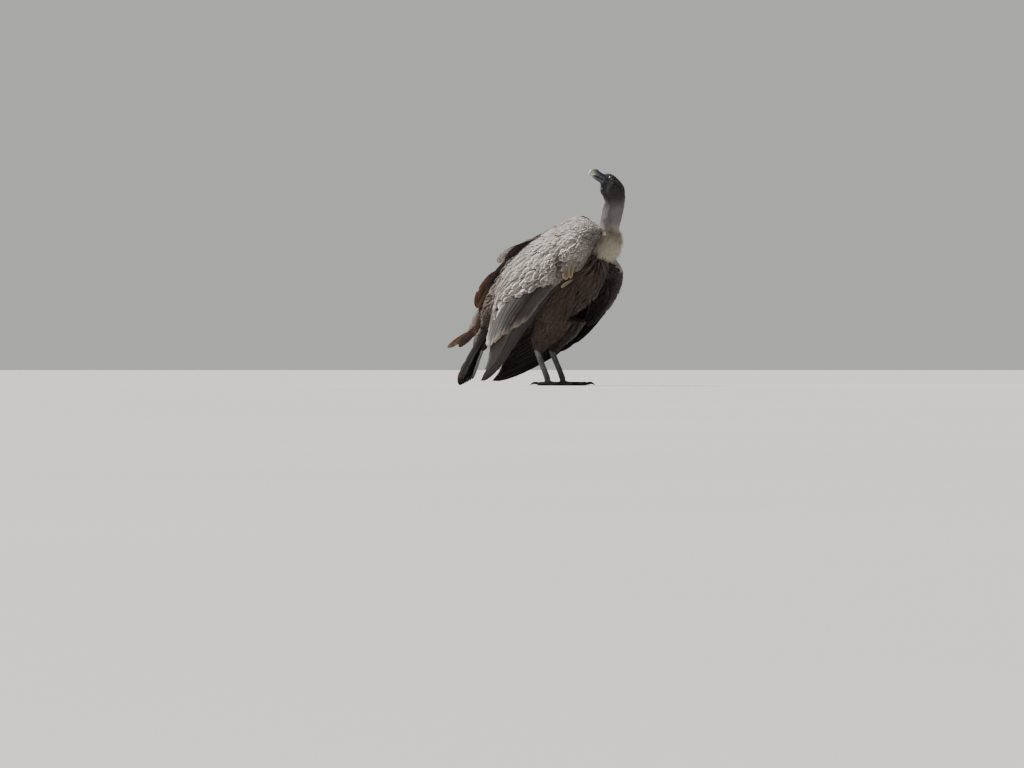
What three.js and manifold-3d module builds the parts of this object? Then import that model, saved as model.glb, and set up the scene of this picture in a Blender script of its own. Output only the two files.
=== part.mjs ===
// A life-size griffon vulture, perched with folded wings and its head turned back over its
// right shoulder. Millimetres, +X the way the breast faces, +Y its left side, +Z up.
import * as THREE from "three";
import { mergeVertices } from "three/addons/utils/BufferGeometryUtils.js";
import Module from "manifold-3d";

const wasm = await Module();
wasm.setup();

// ---------------------------------------------------------------- driving dimensions
const GAP = 0.4; // clear space left between neighbouring pieces
const FLOOR = 0; // level of the soles, tail tip and wing tips

// Trunk: centre line from breast to rump, with its half width and its depth above and below.
const TRUNK = [
  { at: [206, 0, 478], side: 74, up: 78, down: 78 },
  { at: [165, 0, 468], side: 92, up: 97, down: 100 },
  { at: [80, 0, 425], side: 116, up: 132, down: 146 },
  { at: [-10, 0, 370], side: 117, up: 138, down: 148 },
  { at: [-100, 0, 310], side: 94, up: 118, down: 116 },
  { at: [-182, 0, 250], side: 66, up: 84, down: 72 },
  { at: [-250, 0, 192], side: 44, up: 46, down: 40 },
];

// Neck: centre line from inside the breast to the skull, with its radius, down included.
const NECK = [
  { at: [172, 0, 452], radius: 60 },
  { at: [214, 0, 512], radius: 45 },
  { at: [224, 0, 562], side: 36, up: 38, down: 38 },
  { at: [235, -1, 606], side: 35, up: 39, down: 39 },
  { at: [246, -3, 646], side: 33, up: 38, down: 38 },
  { at: [245, -7, 672], side: 33, up: 42, down: 42 },
  { at: [236, -13, 697], side: 31, up: 40, down: 40 },
  { at: [225, -16, 716], side: 24, up: 27, down: 27 },
];
const NECK_SPLIT_Z = 598; // where the neck is parted into two lengths

// Ruff: the collar of down around the foot of the neck, flaring downwards.
const RUFF = [
  { at: [226, 0, 564], side: 38, up: 38, down: 38 },
  { at: [222, 0, 539], side: 50, up: 47, down: 45 },
  { at: [212, 0, 513], side: 64, up: 57, down: 56 },
  { at: [199, 0, 488], side: 70, up: 60, down: 59 },
  { at: [186, 0, 466], side: 60, up: 56, down: 52 },
];

// Head: where the point between the eyes lies, and the way the bill and the crown point.
const HEAD_AT = new THREE.Vector3(233, -14, 721);
const HEAD_TURN = 131; // degrees from straight ahead to the bird's right
const HEAD_PITCH = 25; // degrees above level
// In the head's own frame: +X to the bill, +Y its left, +Z the crown.
const SKULL = [
  { at: [52, 0, -9], side: 7, up: 7, down: 15 },
  { at: [40, 0, -4], side: 11.5, up: 13, down: 26 },
  { at: [26, 0, 0], side: 19, up: 19.5, down: 42 },
  { at: [8, 0, 0], side: 26.5, up: 26, down: 56 },
  { at: [-14, 0, -1], side: 30, up: 26, down: 60 },
  { at: [-38, 0, -4], side: 30, up: 21, down: 52 },
  { at: [-68, 0, -14], side: 22, up: 16, down: 28 },
];
const CERE = [
  { at: [20, 0, 2], side: 13, up: 12, down: 12 },
  { at: [33, 0, 2], side: 13.5, up: 11.5, down: 13 },
  { at: [44, 0, 2], side: 13, up: 11, down: 13 },
  { at: [56, 0, 3.5], side: 11.5, up: 11.5, down: 12.5 },
];
const UPPER_BILL = [
  { at: [34, 0, 2], side: 12, up: 9.5, down: 11 },
  { at: [52, 0, 3], side: 11, up: 10.5, down: 11.5 },
  { at: [67, 0, 3], side: 10, up: 13, down: 11 },
  { at: [79, 0, -3], side: 7.5, up: 11, down: 9 },
  { at: [85, 0, -14], side: 5, up: 6.5, down: 6.5 },
  { at: [84, 0, -24], side: 2.4, up: 2.4, down: 2.4 },
];
const LOWER_BILL = [
  { at: [12, 0, -12], side: 14, up: 9, down: 9 },
  { at: [34, 0, -13], side: 11.5, up: 8, down: 8 },
  { at: [56, 0, -13.5], side: 8.5, up: 7, down: 7 },
  { at: [73, 0, -13], side: 4.5, up: 4, down: 4 },
];
const EYE = { at: [12, 18.5, 6], radius: 9.5 };

// Wing surfaces: lower edge, middle and upper edge, each from the wrist to the wing tip.
const RIGHT_WING = {
  lower: [[232, -116, 490], [193, -142, 434], [113, -150, 365], [30, -148, 292],
    [-63, -130, 190], [-161, -98, 80], [-258, -62, 4]],
  middle: [[246, -124, 545], [180, -168, 528], [77, -172, 457], [-20, -158, 375],
    [-112, -128, 268], [-182, -92, 138], [-259, -62, 22]],
  upper: [[202, -94, 603], [114, -72, 618], [-14, -58, 552], [-120, -56, 462],
    [-192, -52, 352], [-209, -56, 210], [-257, -60, 50]],
};
const LEFT_WING = {
  lower: [[222, 112, 360], [208, 140, 296], [156, 152, 236], [76, 155, 176],
    [-24, 142, 118], [-136, 110, 58], [-262, 74, 8]],
  middle: [[231, 122, 404], [196, 163, 402], [114, 172, 372], [14, 166, 322],
    [-98, 142, 256], [-196, 106, 172], [-286, 68, 72]],
  upper: [[210, 96, 478], [142, 84, 530], [50, 68, 558], [-68, 60, 536],
    [-189, 58, 476], [-279, 56, 361], [-306, 56, 200]],
};
const COVERTS_END = 0.84; // how far down the wing the covert feathers reach
const COVERTS_POINT = 0.8; // how far across it their last tips lie
const ARM_THICKNESS = [66, 66, 54, 40, 24, 13, 7]; // wrist to last covert tip

// Flight feathers, as places on the wing surface: across (0 lower edge, 1 upper) and along.
const SECONDARIES = { count: 8, across: [0.32, 0.97], root: 0.36, tip: [0.93, 0.82] };
const PRIMARIES = { count: 5, across: [0.04, 0.3], root: 0.3, tip: [0.985, 0.9] };
const VANE = { secondary: 46, primary: 40, tail: 48, thickness: 3.2 };
const SECONDARY_DEPTH = 5; // how far under the wing surface the feathers lie
const PRIMARY_DEPTH = 9;

// Feathers that stand loose off the left wing: where on the wing they grow, as on the wing
// surface, then the tip, the width, the bow and the turn about their length.
const LOOSE_FEATHERS = [
  { from: [0.46, 0.84], tip: [-222, 60, 442], width: 50, lift: 5, roll: 62 },
  { from: [0.56, 0.84], tip: [-276, 62, 356], width: 56, lift: 8, roll: 66 },
  { from: [0.62, 0.8], tip: [-304, 64, 292], width: 58, lift: 8, roll: 68 },
  { from: [0.68, 0.76], tip: [-320, 66, 208], width: 56, lift: 8, roll: 70 },
  { from: [0.82, 0.8], tip: [-416, 68, 134], width: 34, lift: 1, roll: 58 },
];
const LOOSE_DEPTH = 9; // how far under the wing surface they root

// Tail: a fan of feathers from the rump to the floor.
const TAIL = { root: [-206, 0, 250], tip: [-343, 0, -1], count: 9, fan: 16, outer: 0.93 };

// Legs and feet.
const FOOT_AT = { x: 22, y: 76 };
const HEEL = { x: -22, y: 74, z: 132 };
const KNEE = { x: 50, y: 66, z: 262 };
const TARSUS_RADIUS = 10.5;
const TOE_RADIUS = 7.6;
const TOE_HEIGHT = 6.6; // height of a toe's centre line, so that its sole is a narrow flat
const TOES = [
  { name: "middle", angle: 2, length: 96 },
  { name: "inner", angle: 36, length: 66 },
  { name: "outer", angle: -34, length: 70 },
  { name: "hind", angle: 178, length: 44 },
];
const CLAW = { length: 27, radius: 5.2 };

// ---------------------------------------------------------------- shaping tools
const vec = (p) => new THREE.Vector3(...p);
const curveThrough = (points) =>
  new THREE.CatmullRomCurve3(points.map(vec), false, "catmullrom", 0.5);
const clamp = THREE.MathUtils.clamp;
const lerp = THREE.MathUtils.lerp;
const smooth = (x, from, to) => THREE.MathUtils.smoothstep(x, from, to);

// A number that runs smoothly through the values of a list as t goes from 0 to 1.
function along(values, t) {
  const line = curveThrough(values.map((value) => [value, 0, 0]));
  return line.getPoint(clamp(t, 0, 1)).x;
}

// Rounds off both ends of a form: 0 at the very end, 1 once past the cap.
function roundEnd(t, cap) {
  const near = clamp(Math.min(t, 1 - t) / cap, 0, 1);
  return Math.sqrt(1 - (1 - near) ** 2);
}

// A closed skin shaped from a sphere: pointAt(t, angle) places each of its points, with t
// from one pole to the other and the angle around.
function wrap(around, rings, pointAt) {
  const sphere = new THREE.SphereGeometry(1, around, rings);
  const { position, uv } = sphere.attributes;
  for (let i = 0; i < position.count; i++) {
    const t = (1 - Math.cos(Math.PI * (1 - uv.getY(i)))) / 2;
    const atPole = t < 1e-9 || t > 1 - 1e-9;
    const angle = atPole ? 0 : uv.getX(i) * 2 * Math.PI;
    const point = pointAt(t, angle);
    if (atPole) point.lerp(pointAt(t, Math.PI), 0.5);
    position.setXYZ(i, ...point.toArray());
  }
  return toSolid(sphere);
}

function toSolid(geometry) {
  const bare = geometry.clone();
  bare.deleteAttribute("normal");
  bare.deleteAttribute("uv");
  const merged = mergeVertices(bare, 1e-3);
  const triVerts = new Uint32Array(merged.index.array);
  const vertProperties = new Float32Array(merged.attributes.position.array);
  const solid = new wasm.Manifold(new wasm.Mesh({ numProp: 3, vertProperties, triVerts }));
  if (solid.volume() > 0) return solid;
  for (let i = 0; i < triVerts.length; i += 3)
    [triVerts[i], triVerts[i + 1]] = [triVerts[i + 1], triVerts[i]];
  return new wasm.Manifold(new wasm.Mesh({ numProp: 3, vertProperties, triVerts }));
}

// A body lofted along stations, each with a half width and a depth above and below its centre
// line. The sides lie along sideways, and grow makes it larger all over.
function loft(stations, { around = 16, rings = 12, cap = 0.1, grow = 0, sideways = [0, 1, 0] }) {
  const centre = curveThrough(stations.map((s) => s.at));
  const turn = new THREE.Vector3().crossVectors(centre.getTangent(0.5), vec(sideways));
  const upright = turn.z < 0 ? -1 : 1;
  const pick = (key) => stations.map((s) => s[key] ?? s.radius);
  const [side, up, down] = [pick("side"), pick("up"), pick("down")];
  return wrap(around, rings, (t, angle) => {
    const forward = centre.getTangent(t);
    const top = new THREE.Vector3().crossVectors(forward, vec(sideways));
    top.normalize().multiplyScalar(upright);
    const across = new THREE.Vector3().crossVectors(top, forward).normalize();
    const fullness = roundEnd(t, cap);
    const rise = Math.cos(angle);
    const depth = along(rise > 0 ? up : down, t) * fullness + grow;
    const width = along(side, t) * fullness + grow;
    return centre
      .getPoint(t)
      .addScaledVector(forward, grow * (2 * t - 1))
      .addScaledVector(top, rise * depth)
      .addScaledVector(across, Math.sin(angle) * width);
  });
}

// The outer surface of a folded wing: a parabola across through its three edge curves.
function wingSurface(wing) {
  const [lower, middle, upper] = ["lower", "middle", "upper"].map((k) => curveThrough(wing[k]));
  const point = (u, v) => {
    const at = clamp(u, 0, 1);
    return lower
      .getPoint(at)
      .multiplyScalar((1 - v) * (1 - 2 * v))
      .addScaledVector(middle.getPoint(at), 4 * v * (1 - v))
      .addScaledVector(upper.getPoint(at), v * (2 * v - 1));
  };
  const outside = Math.sign(wing.middle[2][1]);
  const frame = (u, v) => {
    const step = 0.01;
    const lengthwise = point(Math.min(u + step, 1), v).sub(point(Math.min(u, 1 - step), v));
    const across = point(u, v + step).sub(point(u, v - step)).normalize();
    const normal = new THREE.Vector3().crossVectors(lengthwise, across);
    normal.normalize().multiplyScalar(outside);
    return { lengthwise: lengthwise.normalize(), across, normal };
  };
  return { point, frame };
}

// The part of a wing that its coverts clothe: a leaf-shaped shell under the wing surface.
function armShell(surface, grow) {
  return wrap(14, 15, (t, angle) => {
    const front = Math.sqrt(1 - (1 - clamp(t / 0.09, 0, 1)) ** 2);
    const low = lerp(0.5, lerp(0, COVERTS_POINT, smooth(t, 0.4, 1) ** 1.3), front);
    const high = lerp(0.5, lerp(1, COVERTS_POINT, smooth(t, 0.72, 1) ** 1.6), front);
    const v = low + ((high - low) * (1 - Math.cos(angle))) / 2;
    const u = COVERTS_END * t;
    const { across, normal } = surface.frame(u, v);
    const half = (along(ARM_THICKNESS, t) / 2) * Math.sqrt(clamp(front, 0.05, 1));
    const rear = roundEnd(Math.max(t, 0.5), 0.04);
    return surface
      .point(u, v)
      .addScaledVector(normal, -half + (half * rear + grow) * Math.sin(angle))
      .addScaledVector(across, -grow * Math.cos(angle));
  });
}

// One feather: a thin pointed-oval blade along a path, with its own crosswise and outward ways.
function blade(path, width, grow) {
  return wrap(4, 6, (t, angle) => {
    const { at, across, normal } = path(t);
    const breadth = (width / 2) * lerp(0.6, 1, smooth(t, 0, 0.3)) * roundEnd(t, 0.2) + grow;
    const half = (VANE.thickness / 2) * lerp(1.2, 0.6, t) * Math.min(1, roundEnd(t, 0.05)) + grow;
    return at
      .addScaledVector(across, Math.cos(angle) * breadth)
      .addScaledVector(normal, Math.sin(angle) * half);
  });
}

// A row of flight feathers on a wing, the inner ones lying over the outer.
function featherRow(surface, row, width, depth, grow) {
  const feathers = [];
  for (let i = 0; i < row.count; i++) {
    const share = i / (row.count - 1);
    const v = lerp(...row.across, share);
    const tip = lerp(...row.tip, share);
    const path = (t) => {
      const u = lerp(row.root, tip, t);
      const { across, normal } = surface.frame(u, v);
      const at = surface.point(u, v).addScaledVector(normal, -depth - 3 * (1 - share));
      return { at, across, normal };
    };
    feathers.push(blade(path, width, grow));
  }
  return feathers;
}

// A feather from a root to a tip that bows outwards in between.
function freeFeather({ root, tip, width, lift, roll = 0 }, grow) {
  const ends = [vec(root), vec(tip)];
  const lengthwise = ends[1].clone().sub(ends[0]).normalize();
  const sideways = new THREE.Vector3(0, 1, 0);
  const outward = new THREE.Vector3().crossVectors(sideways, lengthwise).normalize();
  if (outward.z < 0) outward.negate();
  const normal = outward.clone().applyAxisAngle(lengthwise, THREE.MathUtils.degToRad(roll));
  const across = new THREE.Vector3().crossVectors(normal, lengthwise).normalize();
  const path = (t) => ({
    at: ends[0].clone().lerp(ends[1], t).addScaledVector(outward, lift * Math.sin(Math.PI * t)),
    across,
    normal,
  });
  return blade(path, width, grow);
}

function tailFeathers(grow) {
  const root = vec(TAIL.root);
  const spine = vec(TAIL.tip).sub(root);
  const outward = new THREE.Vector3(spine.z, 0, -spine.x).normalize();
  const feathers = [];
  for (let i = 0; i < TAIL.count; i++) {
    const share = (2 * i) / (TAIL.count - 1) - 1;
    const turn = THREE.MathUtils.degToRad(TAIL.fan * share);
    const reach = lerp(1, TAIL.outer, Math.abs(share));
    const tip = spine.clone().multiplyScalar(reach * Math.cos(turn)).add(root);
    tip.y += spine.length() * reach * Math.sin(turn);
    const lower = -7 * Math.abs(share) ** 1.5;
    const start = root.clone().addScaledVector(outward, lower);
    const ends = { root: start.toArray(), tip: tip.addScaledVector(outward, lower).toArray() };
    feathers.push(freeFeather({ ...ends, width: VANE.tail, lift: 6 }, grow));
  }
  return feathers;
}

// ---------------------------------------------------------------- joining and cutting
const unite = (solids) => wasm.Manifold.union(solids);
const carve = (solid, ...cutters) => cutters.reduce((left, cutter) => left.subtract(cutter), solid);

// Cutting can leave crumbs, and a piece is its one main body.
function mainBody(solid) {
  return solid.decompose().reduce((best, body) => (body.volume() > best.volume() ? body : best));
}

function slab(lowZ, highZ) {
  const size = 3000;
  const block = new THREE.BoxGeometry(size, size, highZ - lowZ);
  return toSolid(block.translate(0, 0, (lowZ + highZ) / 2));
}

const bird = new THREE.Group();
const underFloor = slab(FLOOR - 500, FLOOR);

function add(name, solid, finish, holder = bird) {
  const made = mainBody(mainBody(solid).simplify(0.15)).getMesh();
  const position = new Float32Array(made.numVert * 3);
  for (let i = 0; i < made.numVert; i++)
    position.set(made.vertProperties.subarray(i * made.numProp, i * made.numProp + 3), i * 3);
  const geometry = new THREE.BufferGeometry()
    .setAttribute("position", new THREE.BufferAttribute(position, 3))
    .setIndex(new THREE.BufferAttribute(made.triVerts, 1));
  geometry.computeVertexNormals();
  const mesh = new THREE.Mesh(geometry, finish);
  mesh.name = name;
  holder.add(mesh);
}

const paint = (color, roughness) =>
  new THREE.MeshStandardMaterial({ color, roughness, metalness: 0 });
const FINISH = {
  body: paint(0x6b4f3b, 0.9),
  coverts: paint(0xb9a78e, 0.9),
  flight: paint(0x2b2522, 0.75),
  down: paint(0xcfc6b8, 0.95),
  collar: paint(0xe6dccb, 0.95),
  face: paint(0x6f6a68, 0.8),
  cere: paint(0x3c4048, 0.6),
  horn: paint(0xa9a28c, 0.45),
  eye: paint(0x8a5a1e, 0.15),
  leg: paint(0x7d7f80, 0.7),
  claw: paint(0x2a2724, 0.45),
};

// ---------------------------------------------------------------- trunk, neck and ruff
const trunk = (grow = 0) => loft(TRUNK, { around: 20, rings: 15, cap: 0.16, grow });
const neck = (grow = 0) => loft(NECK, { around: 16, rings: 12, cap: 0.08, grow });
const ruff = (grow = 0) => loft(RUFF, { around: 16, rings: 8, cap: 0.28, grow });

// ---------------------------------------------------------------- head
// Its pieces are made in the head's own frame and turned into place.
function headPlace() {
  const turn = THREE.MathUtils.degToRad(-HEAD_TURN);
  const pitch = THREE.MathUtils.degToRad(HEAD_PITCH);
  const level = new THREE.Vector3(Math.cos(turn), Math.sin(turn), 0);
  const forward = level.multiplyScalar(Math.cos(pitch)).setZ(Math.sin(pitch));
  const crown = new THREE.Vector3(0, 0, 1).addScaledVector(forward, -forward.z).normalize();
  const left = new THREE.Vector3().crossVectors(crown, forward);
  return new THREE.Matrix4().makeBasis(forward, left, crown).setPosition(HEAD_AT);
}
const headMatrix = headPlace();
const inHead = (solid) => solid.transform(headMatrix.toArray());

const skull = (grow = 0) => loft(SKULL, { around: 16, rings: 11, cap: 0.2, grow });
const cere = (grow = 0) => loft(CERE, { around: 12, rings: 6, cap: 0.12, grow });
const upperBill = (grow = 0) => loft(UPPER_BILL, { around: 12, rings: 10, cap: 0.06, grow });
const lowerBill = (grow = 0) => loft(LOWER_BILL, { around: 10, rings: 7, cap: 0.08, grow });

function eyeball(side, grow = 0) {
  const [x, y, z] = EYE.at;
  const ball = new THREE.SphereGeometry(EYE.radius + grow, 12, 6);
  return toSolid(ball.translate(x, y * side, z));
}

function addHead() {
  const eyes = [eyeball(1, GAP), eyeball(-1, GAP)];
  add("cere", inHead(cere()), FINISH.cere);
  add("bill_upper", inHead(carve(upperBill(), cere(GAP))), FINISH.horn);
  const jaw = carve(lowerBill(), cere(GAP), upperBill(GAP));
  add("bill_lower", inHead(jaw), FINISH.horn);
  const face = carve(skull(), cere(GAP), upperBill(GAP), lowerBill(GAP), ...eyes);
  add("head", inHead(face), FINISH.face);
  add("eye_left", inHead(eyeball(1)), FINISH.eye);
  add("eye_right", inHead(eyeball(-1)), FINISH.eye);
}

function addNeck() {
  const clearOfHead = carve(neck(), inHead(skull(GAP)), ruff(GAP), trunk(GAP));
  const above = slab(NECK_SPLIT_Z + GAP / 2, 1200);
  const below = slab(-200, NECK_SPLIT_Z - GAP / 2);
  add("neck_upper", clearOfHead.intersect(above), FINISH.down);
  add("neck_lower", clearOfHead.intersect(below), FINISH.down);
  add("ruff", carve(ruff(), trunk(GAP), arms.right(GAP), arms.left(GAP)), FINISH.collar);
}

// ---------------------------------------------------------------- wings and tail
const surfaces = { right: wingSurface(RIGHT_WING), left: wingSurface(LEFT_WING) };
const arms = {
  right: (grow = 0) => armShell(surfaces.right, grow),
  left: (grow = 0) => unite([armShell(surfaces.left, grow), ...looseFeathers(grow)]),
};
function looseFeathers(grow) {
  return LOOSE_FEATHERS.map((feather) => {
    const { normal } = surfaces.left.frame(...feather.from);
    const root = surfaces.left.point(...feather.from).addScaledVector(normal, -LOOSE_DEPTH);
    return freeFeather({ ...feather, root: root.toArray() }, grow);
  });
}

function secondaries(side, grow = 0) {
  return unite(featherRow(surfaces[side], SECONDARIES, VANE.secondary, SECONDARY_DEPTH, grow));
}

function primaries(side, grow = 0) {
  return unite(featherRow(surfaces[side], PRIMARIES, VANE.primary, PRIMARY_DEPTH, grow));
}

function addWing(side) {
  const body = trunk(GAP);
  const arm = arms[side](GAP);
  const upperRow = secondaries(side, GAP);
  add(`wing_${side}_coverts`, carve(arms[side](), body), FINISH.coverts);
  add(`wing_${side}_secondaries`, carve(secondaries(side), body, arm, underFloor), FINISH.flight);
  const lowerRow = carve(primaries(side), body, arm, upperRow, underFloor);
  add(`wing_${side}_primaries`, lowerRow, FINISH.flight);
}

function addTail() {
  const wings = ["right", "left"].flatMap((side) => [
    arms[side](GAP),
    secondaries(side, GAP),
    primaries(side, GAP),
  ]);
  add("tail", carve(unite(tailFeathers(0)), trunk(GAP), underFloor, ...wings), FINISH.flight);
}

// ---------------------------------------------------------------- legs, feet and claws
function legParts(side, grow = 0) {
  const s = side === "left" ? 1 : -1;
  const heel = [HEEL.x, HEEL.y * s, HEEL.z];
  const ankle = [FOOT_AT.x, FOOT_AT.y * s, 16];
  const thigh = loft(
    [
      { at: [KNEE.x, KNEE.y * s, KNEE.z], side: 50, up: 72, down: 72 },
      { at: [30, 70 * s, 214], side: 42, up: 58, down: 56 },
      { at: [-2, 73 * s, 166], side: 28, up: 36, down: 36 },
      { at: [-22, 74 * s, 122], side: 16, up: 18, down: 18 },
    ],
    { around: 12, rings: 8, cap: 0.12, grow },
  );
  const tarsus = loft(
    [
      { at: heel, radius: TARSUS_RADIUS + 2 },
      { at: [-14, 75 * s, 104], radius: TARSUS_RADIUS },
      { at: [8, 76 * s, 52], radius: TARSUS_RADIUS },
      { at: ankle, radius: TARSUS_RADIUS + 1 },
    ],
    { around: 8, rings: 5, cap: 0.1, grow },
  );
  return { thigh, tarsus };
}

function toeEnd(side, toe, distance) {
  const s = side === "left" ? 1 : -1;
  const turn = THREE.MathUtils.degToRad(toe.angle * -s);
  return [
    FOOT_AT.x + Math.cos(turn) * distance,
    FOOT_AT.y * s + Math.sin(turn) * distance,
    TOE_HEIGHT,
  ];
}

function toeSolid(side, toe, grow) {
  const share = (d, radius, rise = 0) => {
    const at = toeEnd(side, toe, toe.length * d);
    at[2] += rise;
    return { at, radius };
  };
  const joints = [
    share(0, TOE_RADIUS * 1.1),
    share(0.35, TOE_RADIUS * 0.95, 0.4),
    share(0.7, TOE_RADIUS * 0.95),
    share(1, TOE_RADIUS * 0.72, -0.6),
  ];
  const turn = Math.atan2(joints[3].at[1] - joints[0].at[1], joints[3].at[0] - joints[0].at[0]);
  const sideways = [-Math.sin(turn), Math.cos(turn), 0];
  return loft(joints, { around: 7, rings: 4, cap: 0.08, grow, sideways });
}

function footSolid(side, grow = 0) {
  const s = side === "left" ? 1 : -1;
  const pad = new THREE.SphereGeometry(1, 8, 6);
  pad.scale(15 + grow, 14 + grow, 11 + grow);
  pad.translate(FOOT_AT.x, FOOT_AT.y * s, 10);
  return unite([toSolid(pad), ...TOES.map((toe) => toeSolid(side, toe, grow))]);
}

function clawSolid(side, toe) {
  const reach = (d, z, radius) => {
    const at = toeEnd(side, toe, toe.length + d);
    return { at: [at[0], at[1], z], radius };
  };
  const turn = Math.atan2(...[1, 0].map((k) => toeEnd(side, toe, 10)[k] - toeEnd(side, toe, 0)[k]));
  const sideways = [-Math.sin(turn), Math.cos(turn), 0];
  const stations = [
    reach(-6, 7.5, CLAW.radius),
    reach(CLAW.length * 0.3, 9.5, CLAW.radius * 0.85),
    reach(CLAW.length * 0.65, 7.2, CLAW.radius * 0.6),
    reach(CLAW.length * 0.95, 1.6, 0.9),
  ];
  return loft(stations, { around: 6, rings: 5, cap: 0.05, sideways });
}

function addLeg(side) {
  const solid = legParts(side);
  const wider = legParts(side, GAP);
  const wings = [arms[side](GAP), secondaries(side, GAP), primaries(side, GAP)];
  add(`thigh_${side}`, carve(solid.thigh, trunk(GAP), ...wings), FINISH.body);
  add(`tarsus_${side}`, carve(solid.tarsus, wider.thigh, footSolid(side, GAP)), FINISH.leg);
  add(`foot_${side}`, carve(footSolid(side), underFloor), FINISH.leg);
  for (const toe of TOES) {
    const claw = carve(clawSolid(side, toe), footSolid(side, GAP), underFloor);
    add(`claw_${side}_${toe.name}`, claw, FINISH.claw);
  }
}

// ---------------------------------------------------------------- the bird
add("trunk", trunk(), FINISH.body);
addHead();
addNeck();
addWing("right");
addWing("left");
addTail();
addLeg("right");
addLeg("left");

// The origin is on the floor, under the middle of the bird's length and width.
const box = new THREE.Box3().setFromObject(bird);
const middle = box.getCenter(new THREE.Vector3());
bird.position.set(-middle.x, -middle.y, -box.min.z);

export default bird;
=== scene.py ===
import math

import bpy
import numpy as np
from mathutils import Matrix, Vector
from mathutils.bvhtree import BVHTree


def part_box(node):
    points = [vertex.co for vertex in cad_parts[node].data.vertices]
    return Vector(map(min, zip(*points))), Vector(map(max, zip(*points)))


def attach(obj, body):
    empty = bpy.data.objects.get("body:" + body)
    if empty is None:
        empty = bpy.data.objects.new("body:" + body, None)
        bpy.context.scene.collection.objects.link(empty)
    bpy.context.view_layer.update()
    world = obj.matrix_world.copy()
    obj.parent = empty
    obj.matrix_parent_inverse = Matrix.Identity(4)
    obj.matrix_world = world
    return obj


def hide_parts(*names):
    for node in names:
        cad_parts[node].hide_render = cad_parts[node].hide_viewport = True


bl_info = {
    "name": "Griffon vulture",
    "version": (1, 0, 0),
    "blender": (4, 5, 0),
    "location": "3D View > Sidebar > Vulture",
    "description": "Skin, bill, eyes, claws and plumage of a life-size griffon vulture",
    "category": "Object",
}

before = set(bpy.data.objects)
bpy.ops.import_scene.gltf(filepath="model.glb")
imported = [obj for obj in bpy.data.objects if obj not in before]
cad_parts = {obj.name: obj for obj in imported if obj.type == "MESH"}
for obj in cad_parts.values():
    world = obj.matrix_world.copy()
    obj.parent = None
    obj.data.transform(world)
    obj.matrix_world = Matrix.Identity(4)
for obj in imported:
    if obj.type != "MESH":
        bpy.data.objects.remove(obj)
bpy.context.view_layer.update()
MM = 0.001

# ---------------------------------------------------------------- the bird's own sizes, in mm
# Each body form is a line of stations: place, half width, depth above and depth below.
TRUNK = [
    (206, 0, 478, 74, 78, 78),
    (165, 0, 468, 92, 97, 100),
    (80, 0, 425, 116, 132, 146),
    (-10, 0, 370, 117, 138, 148),
    (-100, 0, 310, 94, 118, 116),
    (-182, 0, 250, 66, 84, 72),
    (-250, 0, 192, 44, 46, 40),
]
NECK = [
    (172, 0, 452, 60, 60, 60),
    (214, 0, 512, 45, 45, 45),
    (224, 0, 562, 36, 38, 38),
    (235, -1, 606, 35, 39, 39),
    (246, -3, 646, 33, 38, 38),
    (245, -7, 672, 33, 42, 42),
    (236, -13, 697, 31, 40, 40),
    (225, -16, 716, 24, 27, 27),
]
RUFF = [
    (226, 0, 564, 38, 38, 38),
    (222, 0, 539, 50, 47, 45),
    (212, 0, 513, 64, 57, 56),
    (199, 0, 488, 70, 60, 59),
    (186, 0, 466, 60, 56, 52),
]
HEAD_AT = (233, -14, 721)
HEAD_TURN = 131
HEAD_PITCH = 25
SKULL = [
    (52, 0, -9, 7, 7, 15),
    (40, 0, -4, 11.5, 13, 26),
    (26, 0, 0, 19, 19.5, 42),
    (8, 0, 0, 26.5, 26, 56),
    (-14, 0, -1, 30, 23, 60),
    (-38, 0, -4, 30, 16, 52),
    (-68, 0, -14, 22, 12, 28),
]
CERE = [
    (20, 0, 2, 13, 12, 12),
    (33, 0, 2, 13.5, 11.5, 13),
    (44, 0, 2, 13, 11, 13),
    (56, 0, 3.5, 11.5, 11.5, 12.5),
]
UPPER_BILL = [
    (34, 0, 2, 12, 9.5, 11),
    (52, 0, 3, 11, 10.5, 11.5),
    (67, 0, 3, 10, 13, 11),
    (79, 0, -3, 7.5, 11, 9),
    (85, 0, -14, 5, 6.5, 6.5),
    (84, 0, -24, 2.4, 2.4, 2.4),
]
LOWER_BILL = [
    (12, 0, -12, 14, 9, 9),
    (34, 0, -13, 11.5, 8, 8),
    (56, 0, -13.5, 8.5, 7, 7),
    (73, 0, -13, 4.5, 4, 4),
]
EYE_AT = (12, 18.5, 6)
EYE_RADIUS = 9.5
WINGS = {
    "right": (
        [(232, -116, 490), (193, -142, 434), (113, -150, 365), (30, -148, 292),
         (-63, -130, 190), (-161, -98, 80), (-258, -62, 4)],
        [(246, -124, 545), (180, -168, 528), (77, -172, 457), (-20, -158, 375),
         (-112, -128, 268), (-182, -92, 138), (-259, -62, 22)],
        [(202, -94, 603), (114, -72, 618), (-14, -58, 552), (-120, -56, 462),
         (-192, -52, 352), (-209, -56, 210), (-257, -60, 50)],
    ),
    "left": (
        [(222, 112, 360), (208, 140, 296), (156, 152, 236), (76, 155, 176),
         (-24, 142, 118), (-136, 110, 58), (-262, 74, 8)],
        [(231, 122, 404), (196, 163, 402), (114, 172, 372), (14, 166, 322),
         (-98, 142, 256), (-196, 106, 172), (-286, 68, 72)],
        [(210, 96, 478), (142, 84, 530), (50, 68, 558), (-68, 60, 536),
         (-189, 58, 476), (-279, 56, 361), (-306, 56, 200)],
    ),
}
COVERTS_END = 0.84
COVERTS_POINT = 0.8
ARM_THICKNESS = (66, 66, 54, 40, 24, 13, 7)
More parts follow.
